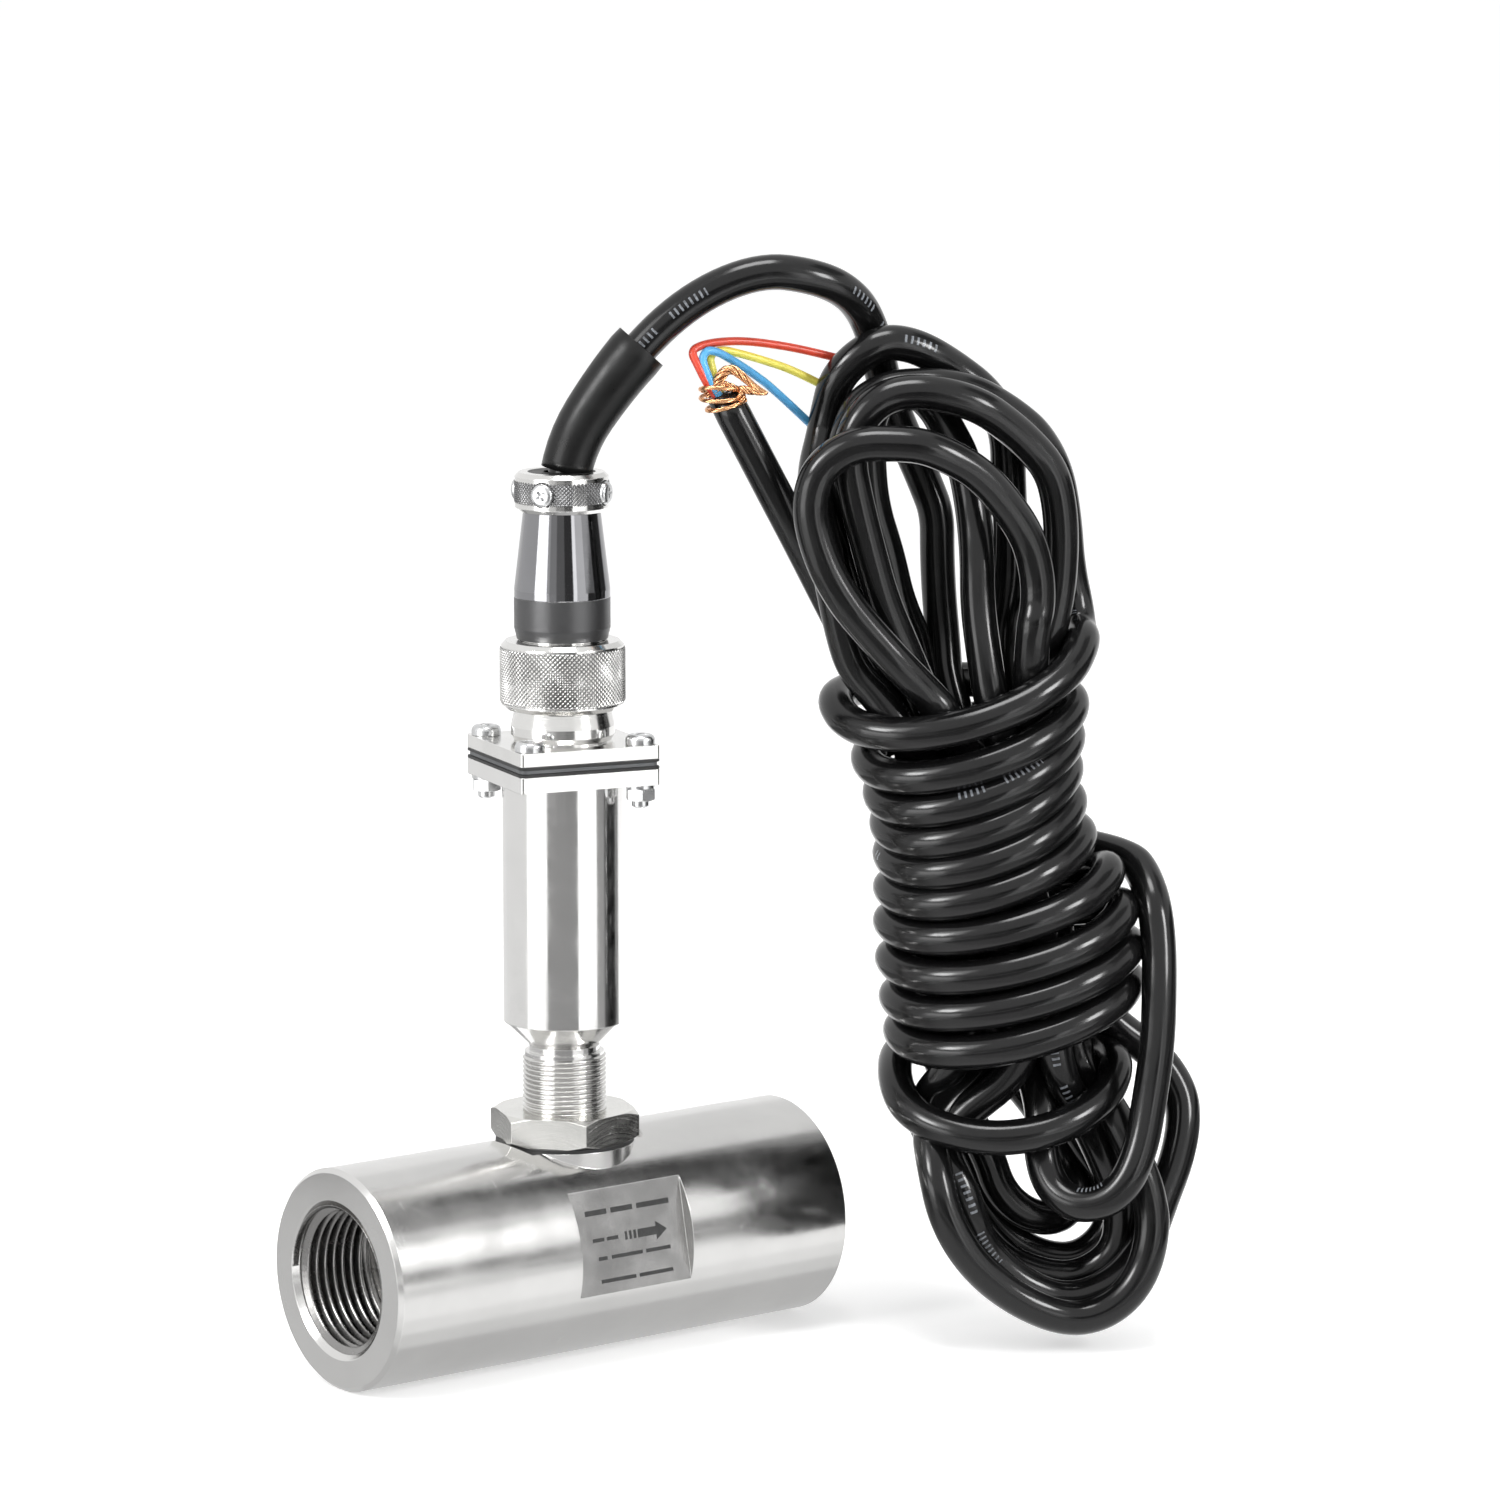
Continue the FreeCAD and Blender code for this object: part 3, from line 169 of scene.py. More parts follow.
# left across, left up, right across, right up, half depth, sag in front
TURNS = [
    (61.3, 147.3, 116.3, 161.0, 18.9, -10.5),
    (68.6, 134.3, 114.6, 147.3, 18.4, -6.6),
    (71.3, 126.3, 113.7, 139.8, 18.1, -6.3),
    (72.9, 119.4, 113.3, 132.7, 18.2, -6.5),
    (73.6, 112.5, 114.3, 124.9, 18.6, -6.1),
    (73.7, 105.1, 116.6, 117.1, 18.9, -5.6),
    (73.7, 97.3, 123.0, 109.3, 19.3, -5.7),
    (74.2, 88.7, 126.4, 100.8, 19.8, -6.1),
    (75.1, 79.7, 127.8, 92.2, 19.9, -5.4),
    (76.1, 71.8, 127.8, 84.1, 19.8, -6.2),
    (74.5, 60.9, 125.1, 63.9, 19.5, -12.1),
]

# rise of each turn behind, over a straight line from its left end to the next turn's right end
BACK_LIFTS = [2.0, 3.0, 2.4, 1.8, 1.2, -4.5, -4.0, -3.3, -2.4, 0.0]

AFTER_WRAP = [
    # round the back, inner bottom fold
    (76, 25, 64.5), (85, 33, 64.5), (97, 34, 61.5), (108, 31.5, 50.5), (115, 29.5, 38.5), (118, 25, 31.5),
    (114, 19.5, 25.5), (106, 15, 26.5), (99, 13.5, 33), (96, 13, 43),
    # up and out to the free end
    (82.5, 13, 67), (87.5, 13, 83), (84, 12.5, 105.5), (79.5, 11, 128), (77, 11.5, 146), (66.5, 11.5, 157),
    (59.5, 12, 170.5), (53, 7, 184), (46.3, 4.5, 197), (35.7, 3, 217.5),
]

RED_ROUTE = [(34.6, 2.4, 216.6), (32.3, 2, 219.7), (30.4, 1.8, 223.7), (28.7, 2.6, 226.9), (31.2, 4, 228.2),
             (35.7, 6, 228.8), (41.5, 9, 228.6), (49.8, 13, 227.1), (56.5, 16, 225.4), (62.2, 18, 223.8)]
YELLOW_ROUTE = [(35.8, 4.2, 216.6), (34.4, 4.4, 219), (33.6, 4.6, 222.5), (32.8, 5.2, 225.6),
                (35.2, 6.2, 227),
                (39.3, 8, 226), (45.3, 11, 224), (52, 14.5, 221.4), (58.6, 17.5, 217.7)]
BLUE_ROUTE = [(35.4, 1.8, 216.6), (33.6, 2, 219), (32.1, 2, 222.5), (31.2, 2.3, 225.3), (32.4, 3, 227.2),
              (35, 4.4, 226.5), (38.2, 6.4, 224.4), (42.5, 9.2, 221.4), (47.5, 12.5, 217.3),
              (57, 18.5, 207.6)]
# bundles of bare shield strands: route, number of strands, radii of the bundle at its ends
SHIELD_BUNDLES = [
    ([(34.2, 2.4, 217.8), (34.6, 1.8, 220.5), (37.3, 1.2, 223.6), (40.4, 0.8, 221.4), (42.6, 0.6, 219.3),
      (45.8, 0.6, 217.6)], 14, 1.25, 0.2),
    ([(40.1, 1.6, 215.6), (39.3, 1, 218.6), (41.6, 0.5, 218.3), (45.4, 0.6, 217.6)], 10, 1.15, 0.2),
    ([(32.4, 3.6, 216.9), (33.8, 1.6, 219.6), (36.2, 1.6, 219.8), (39, 2, 218.4)], 8, 0.75, 0.7),
]
# loose turns of strands round the jacket's end: centre, rise to the right and dip in front, in degrees
SHIELD_TURNS = [((36.5, 3, 214.9), 14, 5, 4.3), ((35.5, 3, 216.6), 2, 6, 4.55),
                ((35.3, 3, 218), -4, -14, 4.5)]
CABLE_DIA, CORE_DIA, CABLE_SIDES = 8.0, 1.9, 20
SLEEVE_FOOT, SLEEVE_LENGTH = 200.5, 28.5
WRAP_BACK, WRAP_REACH = 10.5, 1.035


def wrap_points():
    """Twelve control points a turn, round the bundle from the top turn down."""
    points = []
    for k, (lx, lz, rx, rz, depth, sag) in enumerate(TURNS):
        middle, half, lean = (lx + rx) / 2, (rx - lx) / 2, lz - rz
        for j in range(6):
            a = math.pi * j / 6
            points.append((middle + WRAP_REACH * half * math.cos(a),
                           WRAP_BACK - WRAP_REACH * depth * math.sin(a),
                           rz + lean * (1 - math.cos(a)) / 2 + sag * math.sin(a)))
        if k + 1 == len(TURNS):
            points.append((lx, WRAP_BACK, lz))
            break
        nx, nz = TURNS[k + 1][2:4]
        lift = BACK_LIFTS[k]
        for j in range(6):
            a = math.pi * j / 6
            points.append(((lx + nx) / 2 - WRAP_REACH * (nx - lx) / 2 * math.cos(a),
                           WRAP_BACK + WRAP_REACH * depth * math.sin(a),
                           lz + (nz - lz) * (1 - math.cos(a)) / 2 + lift * math.sin(a)))
    return points


def nurbs(name, points, resolution=8):
    """A curve object of one open NURBS spline with these control points, in millimetres."""
    curve = bpy.data.curves.new(name, "CURVE")
    curve.dimensions = "3D"
    spline = curve.splines.new("NURBS")
    spline.points.add(len(points) - 1)
    for point, place in zip(spline.points, points):
        point.co = (*at(*place), 1)
    spline.order_u = 3
    spline.use_endpoint_u = True
    spline.resolution_u = resolution
    curve.resolution_u = resolution
    return link(bpy.data.objects.new(name, curve))


def line_of(name, points, resolution=8):
    """Points along the NURBS spline, as Blender evaluates it."""
    obj = nurbs(name + "_line", points, resolution)
    bpy.context.view_layer.update()
    mesh = bpy.data.meshes.new_from_object(obj)
    line = [v.co.copy() for v in mesh.vertices]
    curve = obj.data
    bpy.data.objects.remove(obj)
    bpy.data.curves.remove(curve)
    bpy.data.meshes.remove(mesh)
    return line


def frames(line):
    """Tangent, normal and binormal at each point, turned as little as possible along the line."""
    out = []
    normal = None
    for i, p in enumerate(line):
        a, b = line[max(i - 1, 0)], line[min(i + 1, len(line) - 1)]
        tangent = (b - a).normalized()
        if normal is None:
            normal = tangent.orthogonal().normalized()
        normal = (normal - tangent * normal.dot(tangent)).normalized()
        out.append((p, tangent, normal, tangent.cross(normal)))
    return out


def lengths(line):
    total, out = 0.0, [0.0]
    for a, b in zip(line, line[1:]):
        total += (b - a).length
        out.append(total)
    return out


def tube_mesh(name, line, radius, sides=20, inner=None):
    """A tube round the line. radius is a number or a function of (length share, angle)."""
    mesh = bpy.data.meshes.new(name)
    verts, faces = [], []
    far = lengths(line)
    shape = radius if callable(radius) else (lambda s, a: radius)
    for (p, t, n, b), s in zip(frames(line), far):
        for k in range(sides):
            a = 2 * math.pi * k / sides
            r = shape(s / far[-1], a)
            verts.append(p + (n * math.cos(a) + b * math.sin(a)) * r)
    rings = len(line)
    for i in range(rings - 1):
        for k in range(sides):
            q, w = i * sides + k, i * sides + (k + 1) % sides
            faces.append((q, w, w + sides, q + sides))
    if inner:
        offset = len(verts)
        for p, t, n, b in frames(line):
            for k in range(sides):
                a = 2 * math.pi * k / sides
                verts.append(p + (n * math.cos(a) + b * math.sin(a)) * inner)
        for i in range(rings - 1):
            for k in range(sides):
                q, w = offset + i * sides + k, offset + i * sides + (k + 1) % sides
                faces.append((q + sides, w + sides, w, q))
        for i, flip in ((0, False), (rings - 1, True)):
            for k in range(sides):
                q, w = i * sides + k, i * sides + (k + 1) % sides
                face = (q + offset, w + offset, w, q)
                faces.append(face[::-1] if flip else face)
    else:
        faces.append(tuple(range(sides))[::-1])
        faces.append(tuple((rings - 1) * sides + k for k in range(sides)))
    mesh.from_pydata([tuple(v) for v in verts], [], faces)
    mesh.shade_smooth()
    return mesh


CABLE_POINTS = BEFORE_WRAP + wrap_points() + AFTER_WRAP
CABLE_LINE = line_of("signal_cable", CABLE_POINTS)

# ---------------------------------------------------------------- materials

class Net:
    """Adds nodes to a node tree. Each way to add one gives its output."""

    def __init__(self, tree):
        self.nodes, self.links = tree.nodes, tree.links

    def add(self, kind, inputs, **settings):
        """A node with these settings; each of its inputs is a value to keep or an output to link."""
        node = self.nodes.new("ShaderNode" + kind)
        for name, value in settings.items():
            setattr(node, name, value)
        for key, value in inputs.items():
            if isinstance(value, bpy.types.NodeSocket):
                self.links.new(value, node.inputs[key])
            elif value is not None:
                node.inputs[key].default_value = value
        return node

    def math(self, operation, *values):
        return self.add("Math", dict(enumerate(values)), operation=operation).outputs[0]

    def vector(self, operation, a, b=None, output="Vector"):
        return self.add("VectorMath", {0: a, 1: b}, operation=operation).outputs[output]

    def spread(self, value, low, high, start=0.3, end=0.7):
        return self.add("MapRange", {"From Min": start, "From Max": end, "To Min": low, "To Max": high,
                                     "Value": value}).outputs["Result"]

    def mix(self, factor, a, b):
        a, b = [(*c, 1) if isinstance(c, tuple) else c for c in (a, b)]
        return self.add("Mix", {0: factor, 6: a, 7: b}, data_type="RGBA").outputs[2]

    def noise(self, place, scale, detail, rough, socket="Vector"):
        return self.add("TexNoise", {"Scale": scale, "Detail": detail, "Roughness": rough, socket: place},
                        noise_dimensions="3D" if socket == "Vector" else "1D").outputs["Fac"]

    def bump(self, height, distance, strength, normal=None):
        return self.add("Bump", {"Distance": distance, "Strength": strength, "Height": height,
                                 "Normal": normal}).outputs["Normal"]

    def attribute(self, name):
        return self.add("Attribute", {}, attribute_name=name).outputs["Fac"]


MATERIALS = {}


def surface(name, base, rough, metallic=0.0, vary=0.06, vary_scale=60.0, rough_vary=0.06,
            turned=None, line_scale=3500.0, line_depth=0.004, line_vary=0.05,
            grain=None, wear=None, wear_radius=0.25, coat=0.0, ior=1.5, marks=False, painted_groove_shade=None):
    """Adds a procedural material. turned is (axis letter, centre) for tool marks round an axis;
    grain is (scale, depth in mm, strength); wear is the colour that edges go to; painted_groove_shade is
    the painted shade colour that the hollows of a knurl go to; marks adds the cable's plain printed strokes."""
    material = MATERIALS[name] = bpy.data.materials.new(name)
    material.use_nodes = True
    net = Net(material.node_tree)
    shader = net.nodes["Principled BSDF"]
    for socket, value in (("Metallic", metallic), ("IOR", ior), ("Coat Weight", coat),
                          ("Coat Roughness", 0.08)):
        shader.inputs[socket].default_value = value
    place = net.nodes.new("ShaderNodeTexCoord").outputs["Object"]
    cloud = net.noise(place, vary_scale, 4, 0.6)
    low = tuple(c * (1 - vary) for c in base)
    high = tuple(min(1.0, c * (1 + vary)) for c in base)
    colour = net.mix(net.spread(cloud, 0, 1), low, high)
    smudge = net.noise(place, vary_scale * 2.7, 5, 0.65)
    roughness = net.spread(smudge, max(0.02, rough - rough_vary), rough + rough_vary)
    normal = None
    if wear or turned:
        normal = net.add("Bevel", {"Radius": wear_radius * MM}, samples=4).outputs["Normal"]
    if wear:
        facing = net.nodes.new("ShaderNodeNewGeometry").outputs["Normal"]
        edge = net.spread(net.vector("DOT_PRODUCT", normal, facing, "Value"), 1, 0, 0.80, 0.995)
        scuff = net.spread(net.noise(place, 900.0, 4, 0.7), 0.25, 1.0)
        colour = net.mix(net.math("MULTIPLY", edge, scuff), colour, wear)
    if turned:
        axis, centre = turned
        shift = net.vector("SUBTRACT", place, centre)
        flat = net.vector("MULTIPLY", shift, (0, 1, 1) if axis == "X" else (1, 1, 0))
        parts = net.add("SeparateXYZ", {0: shift})
        along = net.math("ADD", parts.outputs[axis], net.vector("LENGTH", flat, None, "Value"))
        lines = net.noise(along, line_scale, 2, 0.6, "W")
        wide = net.noise(along, line_scale / 12, 2, 0.5, "W")
        roughness = net.math("ADD", roughness, net.spread(lines, -line_vary, line_vary))
        normal = net.bump(net.math("MULTIPLY_ADD", wide, 0.6, lines), line_depth * MM, 0.6, normal)
    if grain:
        scale, depth, strength = grain
        normal = net.bump(net.noise(place, scale, 4, 0.6), depth * MM, strength, normal)
    # painted shade: where the knurl's rise is low, its hollows go to a dark colour that stands in for their
    # shade
    if painted_groove_shade:
        colour = net.mix(net.spread(net.attribute("rise"), 0, 1, 0.02, 0.8), painted_groove_shade, colour)
    if marks:
        along, front = net.attribute("along"), net.attribute("front")

        def share(length, shift, below):
            """1 in a share of each length along the cable."""
            turns = net.math("MULTIPLY_ADD", along, 1 / length, shift)
            return net.math("LESS_THAN", net.math("FRACT", turns), below)

        stroke = net.math("MULTIPLY", share(0.0013, 0, 0.38), share(0.0136, 0.2, 0.72))
        stroke = net.math("MULTIPLY", stroke, share(0.056, 0.32, 0.47))
        near = net.math("LESS_THAN", along, 0.13)
        stroke = net.math("MULTIPLY", stroke, net.math("MAXIMUM", near, share(0.31, 0.72, 0.12)))
        stroke = net.math("MULTIPLY", stroke, net.math("GREATER_THAN", front, 0.965))
        faint = net.spread(net.noise(place, 1500.0, 4, 0.7), 0.1, 0.45)
        colour = net.mix(net.math("MULTIPLY", stroke, faint), colour, (0.62, 0.66, 0.72))
    net.links.new(colour, shader.inputs["Base Color"])
    net.links.new(roughness, shader.inputs["Roughness"])
    if normal is not None:
        net.links.new(normal, shader.inputs["Normal"])


STEM = (0.0, 0.0, 0.0)
BORE = (0.0, 0.0, 0.025)
STEEL = (0.70, 0.695, 0.685)
BRIGHT = (0.86, 0.86, 0.85)
surface("body_steel", STEEL, 0.2, 1, turned=("X", BORE), line_depth=0.0015, line_vary=0.02, wear=BRIGHT,
        vary=0.04, vary_scale=35)
surface("guide_steel", (0.66, 0.655, 0.64), 0.3, 1, turned=("X", BORE), wear=BRIGHT)
surface("ring_steel", (0.42, 0.42, 0.43), 0.3, 1, grain=(2500, 0.01, 0.3), wear=BRIGHT)
surface("carbide", (0.30, 0.30, 0.31), 0.16, 1, turned=("X", BORE), wear=(0.5, 0.5, 0.5))
surface("rotor_steel", (0.56, 0.55, 0.53), 0.28, 1, turned=("X", BORE), wear=BRIGHT)
surface("shaft_steel", (0.75, 0.75, 0.74), 0.12, 1, turned=("X", BORE))
surface("housing_steel", (0.74, 0.735, 0.725), 0.13, 1, turned=("Z", STEM), line_scale=4500,
        line_depth=0.003, line_vary=0.035, wear=BRIGHT, vary=0.03)
surface("nut_steel", (0.70, 0.695, 0.67), 0.2, 1, turned=("Z", STEM), wear=BRIGHT, grain=(1200, 0.01, 0.25))
surface("thread_steel", (0.66, 0.655, 0.64), 0.2, 1, grain=(2200, 0.01, 0.3), wear=BRIGHT, wear_radius=0.1)
# painted shade: a darker copy of thread_steel for the threads inside the bore, standing in for the bore's
# shade
surface("shaded_bore_thread_steel", (0.30, 0.295, 0.29), 0.25, 1, grain=(2200, 0.01, 0.3), wear=BRIGHT,
        wear_radius=0.12)
surface("nickel_plate", (0.74, 0.735, 0.72), 0.14, 1, turned=("Z", STEM), line_depth=0.002, wear=BRIGHT,
        vary=0.05)
surface("zinc_plate", (0.62, 0.625, 0.63), 0.24, 1, grain=(1500, 0.02, 0.35), wear=BRIGHT, vary=0.12,
        vary_scale=400, wear_radius=0.15)
# the two knurled bands carry a painted shade colour in their hollows
surface("knurl_plate", (0.80, 0.795, 0.78), 0.24, 1, grain=(3000, 0.01, 0.3), painted_groove_shade=(0.12, 0.12, 0.12),
        vary=0.08, vary_scale=500)
surface("clamp_band_plate", (0.3, 0.3, 0.305), 0.28, 1, grain=(3000, 0.02, 0.4), painted_groove_shade=(0.015, 0.015,
        0.015), vary=0.1, vary_scale=600)
surface("black_rubber", (0.012, 0.012, 0.012), 0.5, 0, grain=(3500, 0.02, 0.35), vary=0.2)
surface("gasket_rubber", (0.016, 0.016, 0.016), 0.55, 0, grain=(2500, 0.03, 0.4), vary=0.25)
surface("gasket_core", (0.12, 0.125, 0.13), 0.45, 0.3, grain=(2500, 0.02, 0.4), vary=0.2)
surface("sleeve_rubber", (0.005, 0.005, 0.005), 0.33, 0, ior=1.38, grain=(1800, 0.02, 0.25), vary=0.2,
        rough_vary=0.08)
surface("cable_jacket", (0.005, 0.005, 0.0052), 0.17, 0, grain=(700, 0.03, 0.15), vary=0.25, vary_scale=90,
        rough_vary=0.05, ior=1.45, marks=True)
surface("black_chrome", (0.27, 0.27, 0.28), 0.06, 1, turned=("Z", STEM), line_depth=0.0012, wear=(0.45,
        0.45, 0.46), rough_vary=0.03, line_vary=0.015)
surface("dark_grey_band", (0.10, 0.10, 0.102), 0.36, 0.8, turned=("Z", STEM), line_depth=0.006, wear=(0.25,
        0.25, 0.25))
surface("insulator", (0.09, 0.09, 0.095), 0.42, 0, grain=(1800, 0.03, 0.3), vary=0.15)
surface("contact_gold", (0.80, 0.66, 0.32), 0.16, 1, grain=(3000, 0.01, 0.3), vary=0.06)
surface("magnet_plate", (0.50, 0.50, 0.52), 0.2, 1, turned=("Z", STEM), wear=BRIGHT)
surface("winding_copper", (0.66, 0.32, 0.15), 0.25, 1, turned=("Z", STEM), line_scale=6000, line_depth=0.05,
        vary=0.08)
surface("circuit_board", (0.03, 0.22, 0.09), 0.35, 0, grain=(1500, 0.03, 0.4), vary=0.18, vary_scale=500,
        coat=0.4)
surface("board_parts", (0.05, 0.05, 0.055), 0.4, 0, grain=(2500, 0.02, 0.4), vary=0.3, vary_scale=400)
surface("bobbin_plastic", (0.80, 0.77, 0.69), 0.42, 0, grain=(1800, 0.02, 0.3), vary=0.06)
surface("core_red", (0.72, 0.07, 0.035), 0.3, 0, grain=(2500, 0.02, 0.25), vary=0.1, vary_scale=300)
surface("core_yellow", (0.93, 0.84, 0.14), 0.3, 0, grain=(2500, 0.02, 0.25), vary=0.08, vary_scale=300)
surface("core_blue", (0.10, 0.42, 0.78), 0.3, 0, grain=(2500, 0.02, 0.25), vary=0.1, vary_scale=300)
surface("strand_copper", (0.78, 0.43, 0.22), 0.2, 1, grain=(4000, 0.01, 0.3), vary=0.15, vary_scale=900)
surface("etched_marks", (0.035, 0.035, 0.035), 0.6, 0.2, grain=(3000, 0.01, 0.3), vary=0.3, vary_scale=600)

NODE_MATERIALS = {
    "flow_body": "body_steel", "inlet_guide": "guide_steel", "outlet_guide": "guide_steel",
    "inlet_retaining_ring": "ring_steel", "outlet_retaining_ring": "ring_steel",
    "inlet_bearing": "carbide", "outlet_bearing": "carbide", "turbine_rotor": "rotor_steel",
    "rotor_shaft": "shaft_steel", "stem_seal_ring": "black_rubber", "lock_nut": "nut_steel",
    "sensor_housing": "housing_steel", "pole_piece": "magnet_plate", "coil_bobbin": "bobbin_plastic",
    "coil_winding": "winding_copper", "pickup_magnet": "magnet_plate", "amplifier_board": "circuit_board",
    "board_components": "board_parts", "flange_washers": "zinc_plate", "flange_nuts": "zinc_plate",
    "socket_shell": "nickel_plate", "socket_insert": "insulator", "socket_pins": "contact_gold",
    "coupling_nut": "nickel_plate", "plug_front_shell": "nickel_plate", "plug_band_ring": "dark_grey_band",
    "plug_back_shell": "black_chrome", "plug_insert": "insulator", "plug_contacts": "contact_gold",
    "plug_insert_ring": "ring_steel", "clamp_ring": "nickel_plate", "clamp_bush": "black_rubber",
}
for node, material in NODE_MATERIALS.items():
    mesh = NODES[node].data
    mesh.materials.clear()
    mesh.materials.append(MATERIALS[material])

# ---------------------------------------------------------------- cable pieces

def piece(name, mesh, material, body, replaces=()):
    """A dressed piece: one mesh, its material, the body it rides on and the nodes it stands for."""
    mesh.materials.clear()
    mesh.materials.append(MATERIALS[material])
    obj = link(bpy.data.objects.new(name, mesh))
    if body:
        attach(obj, body)
    if replaces:
        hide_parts(*replaces)
    return obj


def join_meshes(name, meshes):
    bm = bmesh.new()
    for mesh in meshes:
        bm.from_mesh(mesh)
        bpy.data.meshes.remove(mesh)
    out = bpy.data.meshes.new(name)
    bm.to_mesh(out)
    bm.free()
    return out


def cable_mesh():
    far = lengths(CABLE_LINE)
    total = far[-1]

    def radius(s, a):
        d = s * total
        end = min(1.0, (total - d) / 0.0008)
        ripple = 0.00006 * math.sin(d * 61) * math.sin(d * 23 + a)
        return (CABLE_DIA / 2 * MM + ripple) * (0.93 + 0.07 * end)

    mesh = tube_mesh("signal_cable_line", CABLE_LINE, radius, CABLE_SIDES)
    along = mesh.attributes.new("along", "FLOAT", "POINT")
    front = mesh.attributes.new("front", "FLOAT", "POINT")
    t, n, b = next(row for row, d in zip(frames(CABLE_LINE), far) if d > 0.05)[1:]
    face = math.atan2(-BACK.dot(b), -BACK.dot(n)) - 0.15
    for i, d in enumerate(far):
        for k in range(CABLE_SIDES):
            along.data[i * CABLE_SIDES + k].value = d
            front.data[i * CABLE_SIDES + k].value = math.cos(2 * math.pi * k / CABLE_SIDES - face)
    return mesh


cable = piece("signal_cable_line", cable_mesh(), "cable_jacket", None,
              ("signal_cable", "cable_hank", "cable_tail"))


def sleeve_mesh():
    """Rubber sleeve with a slight flare, on the cable's own line."""
    far = lengths(CABLE_LINE)
    base = next(i for i, p in enumerate(CABLE_LINE) if p.z > SLEEVE_FOOT * MM)
    low, high = CABLE_LINE[base - 1], CABLE_LINE[base]
    foot = low.lerp(high, (SLEEVE_FOOT * MM - low.z) / (high.z - low.z))
    tip = next(i for i, d in enumerate(far) if d >= far[base] + SLEEVE_LENGTH * MM)
    line = [foot] + CABLE_LINE[base:tip + 1]
    mouth = line[-1] + (line[-1] - line[-2]).normalized() * 0.00002
    line = line + [mouth]

    def radius(s, a):
        flare = 5.75 + 0.85 * s ** 1.3
        dent = 0.12 * math.sin(3 * a + 2.2) * s
        round_off = 0.25 * max(0.0, (s - 0.985) / 0.015)
        return (flare + dent - round_off) * MM

    return tube_mesh("cable_sleeve_boot", line, radius, 40, inner=CABLE_DIA / 2 * MM - 0.00005)


sleeve = piece("cable_sleeve_boot", sleeve_mesh(), "sleeve_rubber", "plug", ("cable_sleeve",))


def core(name, route, colour):
    obj = nurbs(name, route, 12)
    obj.data.bevel_depth = CORE_DIA / 2 * MM
    obj.data.bevel_resolution = 4
    obj.data.use_fill_caps = True
    obj.data.materials.append(MATERIALS[colour])
    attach(obj, "meter")
    return obj


def strand_tips():
    """Bare copper ends of the three cores, seven strands each."""
    meshes = []
    for route in (RED_ROUTE, YELLOW_ROUTE, BLUE_ROUTE):
        line = line_of("tip", route, 12)
        end, way = line[-1], (line[-1] - line[-3]).normalized()
        side = way.orthogonal().normalized()
        other = way.cross(side)
        for k in range(7):
            a = 2 * math.pi * k / 6
            r = 0.0 if k == 6 else 0.00042
            root = end - way * 0.0005 + (side * math.cos(a) + other * math.sin(a)) * r
            twist = a + 1.3
            tip = end + way * (0.0042 + 0.0003 * math.sin(5 * k)) + (side * math.cos(twist)
                                                                     + other * math.sin(twist)) * r * 1.25
            points = [root.lerp(tip, t / 4) for t in range(5)]
            meshes.append(tube_mesh("strand", points, 0.0002, 8))
    return join_meshes("core_tips", meshes)


def shield_strands():
    """Bare shield strands: loose turns round the jacket's end, and bundles that join in a tapering twist."""
    meshes = []
    for (x, y, z), rise, dip, radius in SHIELD_TURNS:
        phi, psi = math.radians(rise), math.radians(dip)
        for k in range(5):
            points = []
            for j in range(49):
                a = 2 * math.pi * j / 48
                twist = 2 * math.pi * (k / 5 + 2.5 * j / 48)
                r = radius + 0.3 * math.cos(twist) + 0.08 * math.sin(3 * a)
                lift = 0.3 * math.sin(twist)
                points.append(at(x + r * math.cos(a) * math.cos(phi), y - r * math.sin(a) * math.cos(psi),
                                 z + r * (math.cos(a) * math.sin(phi) - math.sin(a) * math.sin(psi)) + lift))
            meshes.append(tube_mesh("strand", points, 0.00021, 6))
    for route, count, wide, narrow in SHIELD_BUNDLES:
        line = line_of("shield", route, 14)
        rows = frames(line)
        reach = lengths(line)
        for k in range(count):
            points = []
            for (p, t, n, b), d in zip(rows, reach):
                s = d / reach[-1]
                a = 2 * math.pi * (k / count + 1.5 * s + 0.03 * math.sin(9 * s + k))
                r = (narrow + (wide - narrow) * (1 - s) ** 0.7) * MM * (1 if k % 3 else 0.45)
                points.append(p + (n * math.cos(a) + b * math.sin(a)) * r)
            meshes.append(tube_mesh("strand", points, 0.00021, 6))
    return join_meshes("shield_strands", meshes)


red = core("core_red_wire", RED_ROUTE, "core_red")
yellow = core("core_yellow_wire", YELLOW_ROUTE, "core_yellow")
blue = core("core_blue_wire", BLUE_ROUTE, "core_blue")
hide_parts("core_red")
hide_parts("core_yellow")
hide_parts("core_blue")
tips = piece("core_tips", strand_tips(), "strand_copper", "meter")
shield = piece("shield_strands", shield_strands(), "strand_copper", "meter", ("shield_twist",))

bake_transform(cable)

# ---------------------------------------------------------------- threads and knurls

